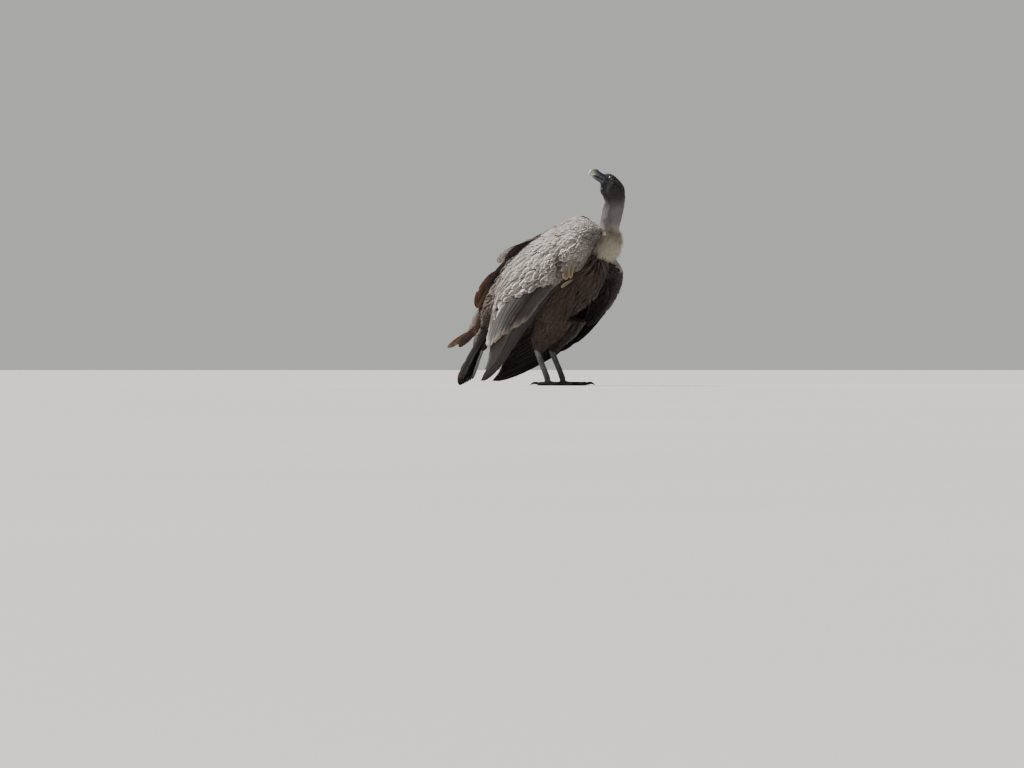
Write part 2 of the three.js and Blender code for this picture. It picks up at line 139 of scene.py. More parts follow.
# Loose feathers of the left wing's upper edge: root, tip, width, bow, roll and colouring.
LOOSE_FEATHERS = [
    ((-4, 70, 547), (-100, 62, 504), 42, 4, 66, "dark"),
    ((-42, 70, 532), (-148, 60, 476), 44, 4, 66, "dark"),
    ((-87, 68, 515), (-186, 58, 451), 46, 5, 66, "dark"),
    ((-132, 68, 472), (-226, 60, 384), 50, 5, 66, "dark"),
    ((-174, 66, 440), (-262, 58, 334), 50, 5, 66, "dark"),
    ((-133, 70, 493), (-226, 64, 440), 32, 6, 70, "tan"),
    ((-197, 68, 415), (-305, 62, 277), 48, 14, 68, "rust"),
    ((-211, 64, 380), (-284, 56, 252), 44, 8, 68, "rusty"),
    ((-242, 66, 306), (-317, 62, 210), 36, 6, 68, "pale"),
    ((-229, 62, 288), (-307, 56, 178), 38, 6, 68, "rusty"),
    ((-262, 68, 263), (-333, 66, 188), 28, 6, 70, "pale"),
    ((-262, 66, 222), (-417, 68, 135), 25, 2, 60, "rust"),
    ((-276, 66, 226), (-372, 62, 146), 24, 3, 62, "dark"),
    ((-213, 40, 238), (-269, 28, 124), 34, 5, 72, "rusty"),
    ((-244, 52, 231), (-305, 42, 135), 30, 5, 70, "pale"),
    ((134, -160, 458), (121, -166, 372), 30, 4, 92, "buff"),
    ((150, -158, 440), (139, -164, 378), 18, 3, 88, "buff"),
    ((143, -156, 372), (104, -163, 346), 10, 2, 90, "buff"),
]
TAIL_ROOT = (-206, 0, 250)
TAIL_TIP = (-343, 0, -1)
TAIL_FAN = 16
TAIL_OUTER = 0.93
FOOT_AT = (22, 76)
HEEL = (-22, 74, 132)
KNEE = (50, 66, 262)
TARSUS_RADIUS = 10.5
TOE_RADIUS = 7.6
TOE_HEIGHT = 6.6
TOES = {"middle": (2, 96), "inner": (36, 66), "outer": (-34, 70), "hind": (178, 44)}
CLAW_LENGTH = 27
CLAW_RADIUS = 5.2


# ---------------------------------------------------------------- lines and forms
def curve(points, t):
    """Points of the smooth line through a list of points, at shares t of the way along it."""
    pts = np.asarray(points, float)
    spans = len(pts) - 1
    x = np.clip(np.asarray(t, float), 0, 1) * spans
    i = np.minimum(x.astype(int), spans - 1)
    w = (x - i)[..., None]
    ext = np.vstack([2 * pts[0] - pts[1], pts, 2 * pts[-1] - pts[-2]])
    p0, p1, p2, p3 = ext[i], ext[i + 1], ext[i + 2], ext[i + 3]
    a, b = 0.5 * (p2 - p0), 0.5 * (p3 - p1)
    return p1 + a * w + (-3 * p1 + 3 * p2 - 2 * a - b) * w**2 + (2 * p1 - 2 * p2 + a + b) * w**3


def tangent(points, t):
    t = np.asarray(t, float)
    return unit(curve(points, np.clip(t + 1e-3, 0, 1)) - curve(points, np.clip(t - 1e-3, 0, 1)))


def along(values, t):
    """A number that runs smoothly through a list of values."""
    return curve([(v,) for v in values], t)[..., 0]


def unit(v):
    return v / np.maximum(np.linalg.norm(v, axis=-1, keepdims=True), 1e-9)


def smooth(x, low, high):
    x = np.clip((np.asarray(x, float) - low) / (high - low), 0, 1)
    return x * x * (3 - 2 * x)


def mix(a, b, x):
    return a + (b - a) * x


def round_end(t, cap):
    near = np.clip(np.minimum(t, 1 - t) / cap, 0, 1)
    return np.sqrt(np.maximum(1 - (1 - near) ** 2, 0))


class Loft:
    """A body form along stations. surface(t, angle) gives points in mm, angle 0 on its back."""

    def __init__(self, stations, cap=0.1, sideways=(0, 1, 0)):
        self.at = [s[:3] for s in stations]
        self.size = [[s[k] for s in stations] for k in (3, 4, 5)]
        self.cap = cap
        self.sideways = np.asarray(sideways, float)
        self.upright = -1 if np.cross(tangent(self.at, 0.5), self.sideways)[2] < 0 else 1

    def surface(self, t, angle, grow=0.0):
        t, angle = np.broadcast_arrays(np.asarray(t, float), np.asarray(angle, float))
        forward = tangent(self.at, t)
        top = unit(np.cross(forward, self.sideways)) * self.upright
        across = unit(np.cross(top, forward))
        full = round_end(t, self.cap)
        side, up, down = (along(values, t) for values in self.size)
        rise = np.cos(angle)
        depth = np.maximum(np.where(rise > 0, up, down) * full + grow, 0)
        width = np.maximum(side * full + grow, 0)
        return (
            curve(self.at, t)
            + forward * (grow * (2 * t - 1))[..., None]
            + top * (rise * depth)[..., None]
            + across * (np.sin(angle) * width)[..., None]
        )


class Wing:
    """A folded wing's outer surface, in shares u from wrist to tip and v across it."""

    def __init__(self, side):
        self.lower, self.middle, self.upper = WINGS[side]
        self.outside = 1 if side == "left" else -1

    def point(self, u, v):
        u, v = np.broadcast_arrays(np.asarray(u, float), np.asarray(v, float))
        low, mid, top = (curve(line, u) for line in (self.lower, self.middle, self.upper))
        v = v[..., None]
        return low * (1 - v) * (1 - 2 * v) + mid * 4 * v * (1 - v) + top * v * (2 * v - 1)

    def frame(self, u, v):
        u, v = np.broadcast_arrays(np.asarray(u, float), np.asarray(v, float))
        lengthwise = self.point(np.minimum(u + 0.01, 1), v) - self.point(np.minimum(u, 0.99), v)
        across = unit(self.point(u, v + 0.01) - self.point(u, v - 0.01))
        normal = unit(np.cross(lengthwise, across)) * self.outside
        return unit(lengthwise), across, normal


MANTLE_SINK = {"right": (-4, 22, -20), "left": (-4, -20, -12)}


class Mantle:
    """The back between the wings, from the right wing's upper edge (angle 0) to the left's (angle pi)."""

    def __init__(self, right, left, trunk):
        self.right, self.left, self.trunk = right, left, trunk

    def sheet(self, t, share):
        share = share[..., None]
        right = self.right.point(mix(0.03, 0.72, t), 0.95) + MANTLE_SINK["right"]
        left = self.left.point(mix(0.03, 0.66, t), 0.95) + MANTLE_SINK["left"]
        middle = self.trunk.surface(mix(0.13, 0.86, t), 0.0)
        return (
            right * (1 - share) * (1 - 2 * share)
            + middle * 4 * share * (1 - share)
            + left * share * (2 * share - 1)
        )

    def surface(self, t, angle, grow=0.0):
        t, angle = np.broadcast_arrays(np.asarray(t, float), np.asarray(angle, float))
        share = angle / math.pi
        along_it = self.sheet(np.minimum(t + 0.01, 1), share) - self.sheet(np.minimum(t, 0.99), share)
        across = self.sheet(t, share + 0.01) - self.sheet(t, share - 0.01)
        normal = unit(np.cross(across, along_it))
        normal = normal * np.where(normal[..., 2:] < 0, -1, 1)
        return self.sheet(t, share) + normal * (grow + np.zeros_like(t))[..., None]


class Flank:
    """The fall of feathers from the trunk's side over the top of one thigh; angle 0 in front, pi behind."""

    def __init__(self, side, trunk, thigh):
        self.sign, self.trunk, self.thigh = (1 if side == "left" else -1), trunk, thigh

    def sheet(self, t, share):
        top = self.trunk.surface(mix(0.2, 0.56, share), -self.sign * mix(2.0, 1.75, share))
        low = self.thigh.surface(mix(0.2, 0.42, share), -self.sign * mix(2.75, 0.45, share), 3)
        line = mix(top, low, t[..., None])
        bulge = 26 * t * (1 - t) * np.sin(math.pi * share) ** 0.5
        return line + bulge[..., None] * np.array((0, self.sign, 0))

    def surface(self, t, angle, grow=0.0):
        t, angle = np.broadcast_arrays(np.asarray(t, float), np.asarray(angle, float))
        share = np.clip(angle / math.pi, 0, 1)
        down = self.sheet(np.minimum(t + 0.01, 1), share) - self.sheet(np.minimum(t, 0.99), share)
        across = self.sheet(t, np.minimum(share + 0.01, 1)) - self.sheet(t, np.minimum(share, 0.99))
        normal = unit(np.cross(across, down))
        normal = normal * np.where(normal[..., 1:2] * self.sign < 0, -1, 1)
        return self.sheet(t, share) + normal * (grow + np.zeros_like(t))[..., None]


class Arm:
    """The part of a wing that its coverts clothe; angle 0 to pi is its outer face.

    hang is how far, as a share of the wing's depth, its coverts hang below its front edge.
    """

    def __init__(self, wing, hang=0.0):
        self.wing, self.hang = wing, hang

    def place(self, t, angle):
        front = np.sqrt(1 - (1 - np.clip(t / 0.09, 0, 1)) ** 2)
        low = mix(0.5, mix(0, COVERTS_POINT, smooth(t, 0.4, 1) ** 1.3), front)
        high = mix(0.5, mix(1, COVERTS_POINT, smooth(t, 0.72, 1) ** 1.6), front)
        low = low - self.hang * smooth(t, 0.02, 0.12) * (1 - smooth(t, 0.22, 0.42))
        return COVERTS_END * t, low + (high - low) * (1 - np.cos(angle)) / 2, front

    def surface(self, t, angle, grow=0.0):
        t, angle = np.broadcast_arrays(np.asarray(t, float), np.asarray(angle, float))
        u, v, front = self.place(t, angle)
        _, across, normal = self.wing.frame(u, v)
        half = along(ARM_THICKNESS, t) / 2 * np.sqrt(np.clip(front, 0.05, 1))
        rear = round_end(np.maximum(t, 0.5), 0.04)
        swell = np.maximum(half * rear + grow, 0.2)
        return (
            self.wing.point(u, v)
            + normal * (-half + swell * np.sin(angle))[..., None]
            - across * (grow * np.cos(angle))[..., None]
        )


def head_matrix():
    turn, pitch = math.radians(-HEAD_TURN), math.radians(HEAD_PITCH)
    forward = Vector((math.cos(turn) * math.cos(pitch), math.sin(turn) * math.cos(pitch), math.sin(pitch)))
    crown = (Vector((0, 0, 1)) - forward * forward.z).normalized()
    left = crown.cross(forward)
    m = Matrix((forward, left, crown)).transposed().to_4x4()
    m.translation = HEAD_AT
    return m


HEAD = np.array(head_matrix())


def in_head(points):
    """Points of the head's own frame, in the bird's."""
    return np.asarray(points, float) @ HEAD[:3, :3].T + HEAD[:3, 3]


class HeadLoft(Loft):
    def surface(self, t, angle, grow=0.0):
        return in_head(super().surface(t, angle, grow))


def frame_shift():
    """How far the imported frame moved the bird, from where its left eye lies."""
    low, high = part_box("eye_left")
    middle = (np.array(low) + np.array(high)) / 2
    return middle / MM - in_head(EYE_AT)


SHIFT = frame_shift()


def metres(points):
    return (np.asarray(points, float) + SHIFT) * MM


# ---------------------------------------------------------------- settings
def shade(red, green, blue):
    """A linear colour from display values of 0 to 255."""
    return tuple(
        (c / 255 / 12.92) if c <= 10 else ((c / 255 + 0.055) / 1.055) ** 2.4 for c in (red, green, blue)
    )


def colour(name, text, value):
    return bpy.props.FloatVectorProperty(
        name=name, description=text, size=3, min=0, max=1, subtype="COLOR", default=shade(*value)
    )


def length(name, text, value, low=0.0, high=1.0):
    return bpy.props.FloatProperty(
        name=name, description=text, default=value, min=low, max=high, unit="LENGTH", precision=4
    )


class VultureSizes(bpy.types.PropertyGroup):
    skin_voxel: length("Skin detail", "Size of the skin's facets before they are thinned", 0.0026)
    body_depth: length("Body coat depth", "How far the skin lies under the body feathers' tips", 0.013)
    ruff_depth: length("Ruff depth", "How far the skin lies under the ruff's tips", 0.017)
    neck_depth: length("Neck down depth", "How far the skin lies under the neck's down", 0.006)
    face_depth: length("Face down depth", "How far the skin lies under the face's down", 0.0018)
    covert_depth: length("Covert depth", "How far the skin lies under the wing coverts", 0.006)
    body_feather: length("Body feather", "Length of a feather of the back and belly", 0.062)
    neck_down: length("Neck down", "Length of a tuft of down on the neck", 0.011)
    face_down: length("Face down", "Length of a tuft of down on the face", 0.0052)
    ruff_plume: length("Ruff plume", "Length of a plume of the ruff", 0.052)
    seed: bpy.props.IntProperty(name="Seed", description="Start of all scatter", default=7, min=0)


class VultureColours(bpy.types.PropertyGroup):
    coverts: colour("Coverts", "Sandy buff of the wing coverts", (172, 163, 155))
    covert_rim: colour("Covert edges", "Pale edges of the wing coverts", (218, 211, 204))
    covert_core: colour("Covert centres", "Brown centres of the larger coverts", (98, 88, 83))
    flight: colour("Flight feathers", "Blackish brown of flight and tail feathers", (56, 50, 50))
    flight_rim: colour("Flight edges", "Paler brown edges of the flight feathers", (116, 104, 94))
    mantle: colour("Mantle", "Brown of the back between the wings", (122, 99, 82))
    # Rufous brown, darkened further as painted shade of the breast.
    breast: colour("Breast", "Rufous brown of the breast and belly", (70, 54, 46))
    breast_streak: colour("Breast streaks", "Pale shaft streaks of the breast", (160, 134, 108))
    # Dark brown of the under wing; it also serves as painted shade on the coverts' lower edges and fronts, in
    # the notch under the right wrist and over the rump.
    under_wing_and_shade: colour("Under wing", "Dark brown under the wing", (54, 45, 44))
    # Rusty brown of worn vanes; on the loose feathers' edges and tips it also stands for light shining
    # through them, a painted glow.
    rust: colour("Rust", "Rusty vanes of the loose feathers", (120, 90, 70))
    tan: colour("Tan", "Pinkish tan of one loose feather", (168, 126, 106))
    # Dark brown of the left wing's upper-edge feathers, darkened and turned purplish as painted shade of that
    # band.
    shoulder: colour("Shoulder", "Purplish brown along the left wing's upper edge", (66, 54, 58))
    ruff: colour("Ruff", "Cream down of the ruff", (242, 230, 212))
    # Brown of the ruff's base; higher up and on its rear right side the same colour is painted shade.
    ruff_brown_and_shade: colour("Ruff shade", "Brown down high and low in the ruff", (112, 90, 72))
    # The neck's whitish down, the face's grey down and the bare skin are darkened further as painted shade of
    # the head and neck.
    neck: colour("Neck", "Dingy white down of the neck", (160, 157, 158))
    face: colour("Face", "Grey down of the face", (72, 68, 71))
    skin: colour("Bare skin", "Bluish grey bare skin", (64, 64, 73))
    legs: colour("Legs", "Grey scaly skin of the legs", (118, 120, 122))
    horn: colour("Bill", "Grey horn of the bill", (74, 76, 84))
    horn_tip: colour("Bill tip", "Pale horn at the top and tip of the bill", (204, 200, 188))
    cere: colour("Cere", "Dark waxy skin over the nostrils", (50, 52, 60))
    iris: colour("Iris", "Amber brown of the eye", (126, 78, 34))
    claws: colour("Claws", "Dark horn of the claws", (42, 38, 36))


class VultureStage(bpy.types.PropertyGroup):
    azimuth: bpy.props.FloatProperty(
        name="Azimuth", description="Which way the camera looks, from along +Y",
        default=math.radians(21), subtype="ANGLE",
    )
    distance: length("Distance", "How far the camera stands from the bird", 30.0, 0.5, 60)
    eye_height: length("Camera height", "How high the camera stands over the floor", 0.06, 0.01, 3)
    key: bpy.props.FloatProperty(name="Key light", description="Watts per square metre", default=8.2, min=0)
    key_softness: bpy.props.FloatProperty(
        name="Key softness", description="Angle that the key light fills", default=math.radians(15),
        subtype="ANGLE",
    )
    fill: bpy.props.FloatProperty(name="Fill light", description="Power in watts", default=4, min=0)
    back: bpy.props.FloatProperty(name="Back light", description="Power in watts", default=10, min=0)
    air: bpy.props.FloatProperty(name="Air", description="Strength of the even light", default=0.16, min=0)
    backdrop: bpy.props.FloatProperty(name="Backdrop", description="Brightness behind", default=0.82, min=0)
    floor: colour("Floor", "Pale floor and backdrop", (202, 202, 200))


# ---------------------------------------------------------------- shader groups
class Nodes:
    """Short ways to add and link the nodes of one tree."""

    def __init__(self, tree):
        self.tree = tree

    def add(self, kind, **values):
        node = self.tree.nodes.new("ShaderNode" + kind)
        for key, value in values.items():
            setattr(node, key, value)
        return node

    def set(self, socket, value):
        if isinstance(value, bpy.types.NodeSocket):
            self.tree.links.new(value, socket)
        elif value is not None:
            socket.default_value = value

    def math(self, operation, a, b=None, c=None):
        node = self.add("Math", operation=operation)
        for socket, value in zip(node.inputs, (a, b, c)):
            self.set(socket, value)
        return node.outputs[0]

    def span(self, value, low, high, to_low=0.0, to_high=1.0):
        node = self.add("MapRange", interpolation_type="SMOOTHSTEP")
        for key, v in zip(("Value", "From Min", "From Max", "To Min", "To Max"),
                          (value, low, high, to_low, to_high)):
            self.set(node.inputs[key], v)
        return node.outputs[0]

    def blend(self, share, a, b, kind="MIX"):
        node = self.add("Mix", data_type="RGBA", blend_type=kind)
        self.set(node.inputs["Factor"], share)
        self.set(node.inputs[6], tuple(a) + (1,) if isinstance(a, tuple) and len(a) == 3 else a)
        self.set(node.inputs[7], tuple(b) + (1,) if isinstance(b, tuple) and len(b) == 3 else b)
        return node.outputs[2]

    def noise(self, vector, scale, detail=2.0, roughness=0.5):
        node = self.add("TexNoise")
        self.set(node.inputs["Vector"], vector)
        self.set(node.inputs["Scale"], scale)
        self.set(node.inputs["Detail"], detail)
        self.set(node.inputs["Roughness"], roughness)
        return node.outputs["Fac"]


def group(name, inputs, outputs):
    tree = bpy.data.node_groups.new(name, "ShaderNodeTree")
    for socket, kind, value in inputs:
        made = tree.interface.new_socket(name=socket, in_out="INPUT", socket_type="NodeSocket" + kind)
        if value is not None:
            made.default_value = value
    for socket, kind in outputs:
        tree.interface.new_socket(name=socket, in_out="OUTPUT", socket_type="NodeSocket" + kind)
    nodes = Nodes(tree)
    return tree, nodes, nodes.tree.nodes.new("NodeGroupInput"), nodes.tree.nodes.new("NodeGroupOutput")


def vane_group():
    """Marks of one feather: its shaft, its pale edge, its barbs and the fade to its root."""
    tree, n, source, sink = group(
        "feather_vane",
        [("Vane", "Vector", None), ("Rim Width", "Float", 0.14), ("Barbs", "Float", 46.0)],
        [("Shaft", "Float"), ("Rim", "Float"), ("Core", "Float"), ("Height", "Float"), ("Fleck", "Float")],
    )
    split = n.add("SeparateXYZ")
    n.set(split.inputs[0], source.outputs["Vane"])
    x, y = split.outputs[0], split.outputs[1]
    aside = n.math("ABSOLUTE", n.math("SUBTRACT", x, 0.5))
    thin = n.span(y, 0.0, 1.0, 0.03, 0.008)
    shaft = n.math("SUBTRACT", 1.0, n.span(aside, 0.0, thin))
    wander = n.noise(source.outputs["Vane"], 9.0, 2.0)
    reach = n.math("ADD", aside, n.math("MULTIPLY", n.math("SUBTRACT", wander, 0.5), 0.1))
    side_edge = n.span(reach, n.math("SUBTRACT", 0.5, source.outputs["Rim Width"]), 0.5)
    end = n.math("ADD", y, n.math("MULTIPLY", n.math("SUBTRACT", wander, 0.5), 0.06))
    tip_width = n.math("MULTIPLY", source.outputs["Rim Width"], 0.75)
    tip_edge = n.span(end, n.math("SUBTRACT", 1.0, tip_width), 0.98)
    rim = n.math("MAXIMUM", n.math("MULTIPLY", side_edge, n.span(y, 0.25, 0.7)), tip_edge)
    lean = n.math("SUBTRACT", y, n.math("MULTIPLY", aside, 0.55))
    wave = n.math("SINE", n.math("MULTIPLY", lean, n.math("MULTIPLY", source.outputs["Barbs"], 6.283)))
    along_barbs = n.add("CombineXYZ")
    n.set(along_barbs.inputs[0], n.math("MULTIPLY", lean, source.outputs["Barbs"]))
    n.set(along_barbs.inputs[1], n.math("MULTIPLY", x, 3.0))
    streaks = n.noise(along_barbs.outputs[0], 1.0, 3.0, 0.7)
    height = n.math("ADD", n.math("MULTIPLY", streaks, 1.2), n.math("MULTIPLY", shaft, 1.4))
    uneven = n.math("MULTIPLY", n.math("SUBTRACT", streaks, 0.5), 3.0)
    fleck = n.math("ADD", n.math("MULTIPLY", wave, 0.15), uneven)
    core = n.math("MULTIPLY", n.span(reach, 0.42, 0.05), n.span(end, 0.99, 0.72))
    marks = {"Shaft": shaft, "Rim": rim, "Core": core, "Height": height, "Fleck": fleck}
    for name, value in marks.items():
        n.set(sink.inputs[name], value)
    return tree


def mottle_group():
    """Soft uneven patches and fine grain, in the object's own space."""
    tree, n, source, sink = group(
        "mottle",
        [("Vector", "Vector", None), ("Patch Scale", "Float", 30.0), ("Grain Scale", "Float", 400.0)],
        [("Patches", "Float"), ("Grain", "Float")],
    )
    vector = source.outputs["Vector"]
    patches = n.span(n.noise(vector, source.outputs["Patch Scale"], 4.0, 0.6), 0.3, 0.7)
    grain = n.noise(vector, source.outputs["Grain Scale"], 4.0, 0.6)
    n.set(sink.inputs["Patches"], patches)
    n.set(sink.inputs["Grain"], grain)
    return tree


def shared(name, make):
    return bpy.data.node_groups.get(name) or make()


def placed(n, name, make, **values):
    node = n.add("Group", node_tree=shared(name, make))
    for key, value in values.items():
        n.set(node.inputs[key.replace("_", " ")], value)
    return node.outputs


def new_material(name, roughness, **fixed):
    """A material with one Principled shader, whose even values sit on its own sockets."""
    material = bpy.data.materials.new(name)
    material.use_nodes = True
    n = Nodes(material.node_tree)
    shader = material.node_tree.nodes["Principled BSDF"]
    shader.inputs["Roughness"].default_value = roughness
    for key, value in fixed.items():
        shader.inputs[key.replace("_", " ")].default_value = value
    return material, n, shader


def tone(n, base, amount, strength):
    """Base made lighter or darker by amount, which swings about zero."""
    gain = n.math("ADD", 1.0, n.math("MULTIPLY", amount, strength))
    node = n.add("Mix", data_type="RGBA", blend_type="MULTIPLY")
    node.inputs["Factor"].default_value = 1.0
    n.set(node.inputs[6], base)
    combine = n.add("CombineColor")
    for socket in combine.inputs[:3]:
        n.set(socket, gain)
    n.set(node.inputs[7], combine.outputs[0])
    return node.outputs[2]


def relief(n, height, distance, strength=1.0, normal=None):
    bump = n.add("Bump")
    bump.inputs["Strength"].default_value = strength
    bump.inputs["Distance"].default_value = distance
    n.set(bump.inputs["Height"], height)
    if normal is not None:
        n.set(bump.inputs["Normal"], normal)
    return bump.outputs[0]


def feather_material(name, rim=0.7, rim_width=0.14, core=0.3, shaft=0.5, barbs=46.0, roughness=0.62,
                     sheen=0.12, shaft_tone=(0.42, 0.36, 0.29)):
    """Feathers: each one's tint and edge colour come with its mesh, its marks from its own map."""
    material, n, shader = new_material(name, roughness, Sheen_Weight=sheen, Sheen_Roughness=0.5)
    shader.inputs["Specular IOR Level"].default_value = 0.3
    tint = n.add("Attribute", attribute_name="tint").outputs["Color"]
    edge = n.add("Attribute", attribute_name="rim").outputs["Color"]
    vane_map = n.add("UVMap", uv_map="vane").outputs[0]
    marks = placed(n, "feather_vane", vane_group, Vane=vane_map, Rim_Width=rim_width, Barbs=barbs)
    base = n.blend(n.math("MULTIPLY", marks["Rim"], rim), tint, edge)
    base = tone(n, base, marks["Core"], -core)
    base = n.blend(n.math("MULTIPLY", marks["Shaft"], shaft), base, shaft_tone)
    place = n.add("TexCoord").outputs["Object"]
    patches = placed(n, "mottle", mottle_group, Vector=place, Patch_Scale=14.0, Grain_Scale=500.0)
    base = tone(n, base, n.math("SUBTRACT", patches["Patches"], 0.5), 0.22)
    base = tone(n, base, marks["Fleck"], 0.26)
    n.set(shader.inputs["Base Color"], base)
    n.set(shader.inputs["Normal"], relief(n, marks["Height"], 0.0004, 0.5))
    return material


def down_material(name, roughness=0.8, sheen=0.3):
    """Down: soft, streaked along each tuft."""
    material, n, shader = new_material(name, roughness, Sheen_Weight=sheen, Sheen_Roughness=0.4)
    shader.inputs["Specular IOR Level"].default_value = 0.2
    tint = n.add("Attribute", attribute_name="tint").outputs["Color"]
    edge = n.add("Attribute", attribute_name="rim").outputs["Color"]
    split = n.add("SeparateXYZ")
    n.set(split.inputs[0], n.add("UVMap", uv_map="vane").outputs[0])
    base = n.blend(n.span(split.outputs[1], 0.1, 1.0), tint, edge)
    strands = n.math("SINE", n.math("MULTIPLY", split.outputs[0], 25.0))
    base = tone(n, base, strands, 0.1)
    n.set(shader.inputs["Base Color"], base)
    n.set(shader.inputs["Normal"], relief(n, strands, 0.0004, 0.4))
    return material


def skin_material():
    """Skin: bluish grey where bare, scaly on the legs, tinted as the coat that hides it elsewhere."""
    material, n, shader = new_material("skin", 0.6, Subsurface_Weight=0.04, Subsurface_Scale=0.01)
    tint = n.add("Attribute", attribute_name="tint").outputs["Color"]
    scaly = n.add("Attribute", attribute_name="scaly").outputs["Fac"]
    place = n.add("TexCoord").outputs["Object"]
    marks = placed(n, "mottle", mottle_group, Vector=place, Patch_Scale=70.0, Grain_Scale=700.0)
    plates = n.add("TexVoronoi", feature="DISTANCE_TO_EDGE")
    n.set(plates.inputs["Vector"], place)
    plates.inputs["Scale"].default_value = 330.0
    gap = n.span(plates.outputs["Distance"], 0.0, 0.22)
    base = tone(n, tint, n.math("SUBTRACT", marks["Patches"], 0.5), 0.3)
    seam = n.math("MULTIPLY", scaly, n.math("SUBTRACT", 1.0, gap))
    base = n.blend(n.math("MULTIPLY", seam, 0.55), base, shade(58, 56, 56))
    n.set(shader.inputs["Base Color"], base)
    n.set(shader.inputs["Roughness"], n.math("SUBTRACT", 0.7, n.math("MULTIPLY", scaly, 0.2)))
    height = n.math("ADD", n.math("MULTIPLY", gap, scaly), n.math("MULTIPLY", marks["Grain"], 0.5))
    n.set(shader.inputs["Normal"], relief(n, height, 0.0009, 0.6))
    return material


def horn_material(name, low, high, gloss, axis_start, axis_end, change=(0.3, 0.8)):
    """Horn that changes from one colour to the other between two places, with fine growth lines."""
    material, n, shader = new_material(name, gloss, Coat_Weight=0.15, Coat_Roughness=0.25)
    place = n.add("TexCoord").outputs["Object"]
    start, end = np.array(axis_start), np.array(axis_end)
    axis = (end - start) / np.dot(end - start, end - start)
    dot = n.add("VectorMath", operation="DOT_PRODUCT")
    n.set(dot.inputs[0], place)
    dot.inputs[1].default_value = tuple(axis)
    share = n.math("SUBTRACT", dot.outputs["Value"], float(np.dot(start, axis)))
    marks = placed(n, "mottle", mottle_group, Vector=place, Patch_Scale=90.0, Grain_Scale=900.0)
    bent = n.math("ADD", share, n.math("MULTIPLY", n.math("SUBTRACT", marks["Patches"], 0.5), 0.12))
    base = n.blend(n.span(bent, *change), low, high)
    lines = n.math("SINE", n.math("MULTIPLY", bent, 55.0))
    base = tone(n, base, n.math("SUBTRACT", marks["Patches"], 0.5), 0.25)
    base = tone(n, base, n.math("MULTIPLY", lines, marks["Patches"]), 0.06)
    n.set(shader.inputs["Base Color"], base)
    wear = n.math("MULTIPLY", n.math("SUBTRACT", marks["Grain"], 0.5), 0.35)
    n.set(shader.inputs["Roughness"], n.math("ADD", gloss, wear))
    height = n.math("ADD", n.math("MULTIPLY", lines, 0.15), marks["Grain"])
    n.set(shader.inputs["Normal"], relief(n, height, 0.0004, 0.5))
    return material


def cere_material(base_colour):
    material, n, shader = new_material("cere", 0.45, Coat_Weight=0.1, Coat_Roughness=0.3)
    place = n.add("TexCoord").outputs["Object"]
    marks = placed(n, "mottle", mottle_group, Vector=place, Patch_Scale=120.0, Grain_Scale=1100.0)
    base = n.blend(marks["Patches"], base_colour, tuple(c * 1.7 for c in base_colour))
    n.set(shader.inputs["Base Color"], tone(n, base, n.math("SUBTRACT", marks["Grain"], 0.5), 0.3))
    n.set(shader.inputs["Normal"], relief(n, marks["Grain"], 0.0007, 0.6))
    return material


def eye_material(iris):
    """An eye read from its own map: the map's middle is the pupil's."""
    material, n, shader = new_material("eye", 0.06, Coat_Weight=1.0, Coat_Roughness=0.02)
    gaze = n.add("UVMap", uv_map="gaze").outputs[0]
    away = n.add("VectorMath", operation="DISTANCE")
    n.set(away.inputs[0], gaze)
    away.inputs[1].default_value = (0.5, 0.5, 0)
    far = away.outputs["Value"]
    fibres = n.noise(gaze, 28.0, 5.0, 0.7)
    ring = n.blend(n.span(far, 0.16, 0.34), tuple(c * 0.45 for c in iris), iris)
    ring = tone(n, ring, n.math("SUBTRACT", fibres, 0.5), 1.1)
    ring = n.blend(n.span(far, 0.33, 0.37), ring, shade(34, 24, 20))
    ring = n.blend(n.span(far, 0.42, 0.5), ring, shade(86, 74, 70))
    n.set(shader.inputs["Base Color"], n.blend(n.span(far, 0.13, 0.15), shade(6, 6, 7), ring))
    return material


def floor_material(base):
    material, n, shader = new_material("floor", 0.7)
    shader.inputs["Specular IOR Level"].default_value = 0.2
    place = n.add("TexCoord").outputs["Object"]
    marks = placed(n, "mottle", mottle_group, Vector=place, Patch_Scale=0.7, Grain_Scale=60.0)
    n.set(shader.inputs["Base Color"], tone(n, base + (1,), n.math("SUBTRACT", marks["Patches"], 0.5), 0.03))
    return material


# ---------------------------------------------------------------- pieces shaped from primitives
def cleared():
    """Leaves edit mode and selects nothing, ready for a new primitive."""
    if bpy.context.object and bpy.context.object.mode != "OBJECT":
        bpy.ops.object.mode_set(mode="OBJECT")
    bpy.ops.object.select_all(action="DESELECT")


def points_of(piece):
    flat = np.empty(len(piece.data.vertices) * 3)
    piece.data.vertices.foreach_get("co", flat)
    return flat.reshape(-1, 3)


def set_points(piece, points):
    piece.data.vertices.foreach_set("co", np.ascontiguousarray(points, np.float64).ravel())
    piece.data.update()


def turned_out(piece):
    """Makes a closed mesh's faces point outwards."""
    cleared()
    piece.select_set(True)
    bpy.context.view_layer.objects.active = piece
    bpy.ops.object.mode_set(mode="EDIT")
    bpy.ops.mesh.select_all(action="SELECT")
    bpy.ops.mesh.normals_make_consistent(inside=False)
    bpy.ops.object.mode_set(mode="OBJECT")
    return piece


def ball(name, segments, rings):
    cleared()
    bpy.ops.mesh.primitive_uv_sphere_add(segments=segments, ring_count=rings, radius=1)
    piece = bpy.context.object
    piece.name = piece.data.name = name
    return piece


def drawn_out(name, surface, segments, rings):
    """A ball whose rings are drawn out along a form, with its two ends closed."""
    piece = ball(name, segments, rings)
    co = points_of(piece)
    set_points(piece, metres(surface((1 - co[:, 2]) / 2, np.arctan2(co[:, 1], co[:, 0]))))
    return turned_out(piece)


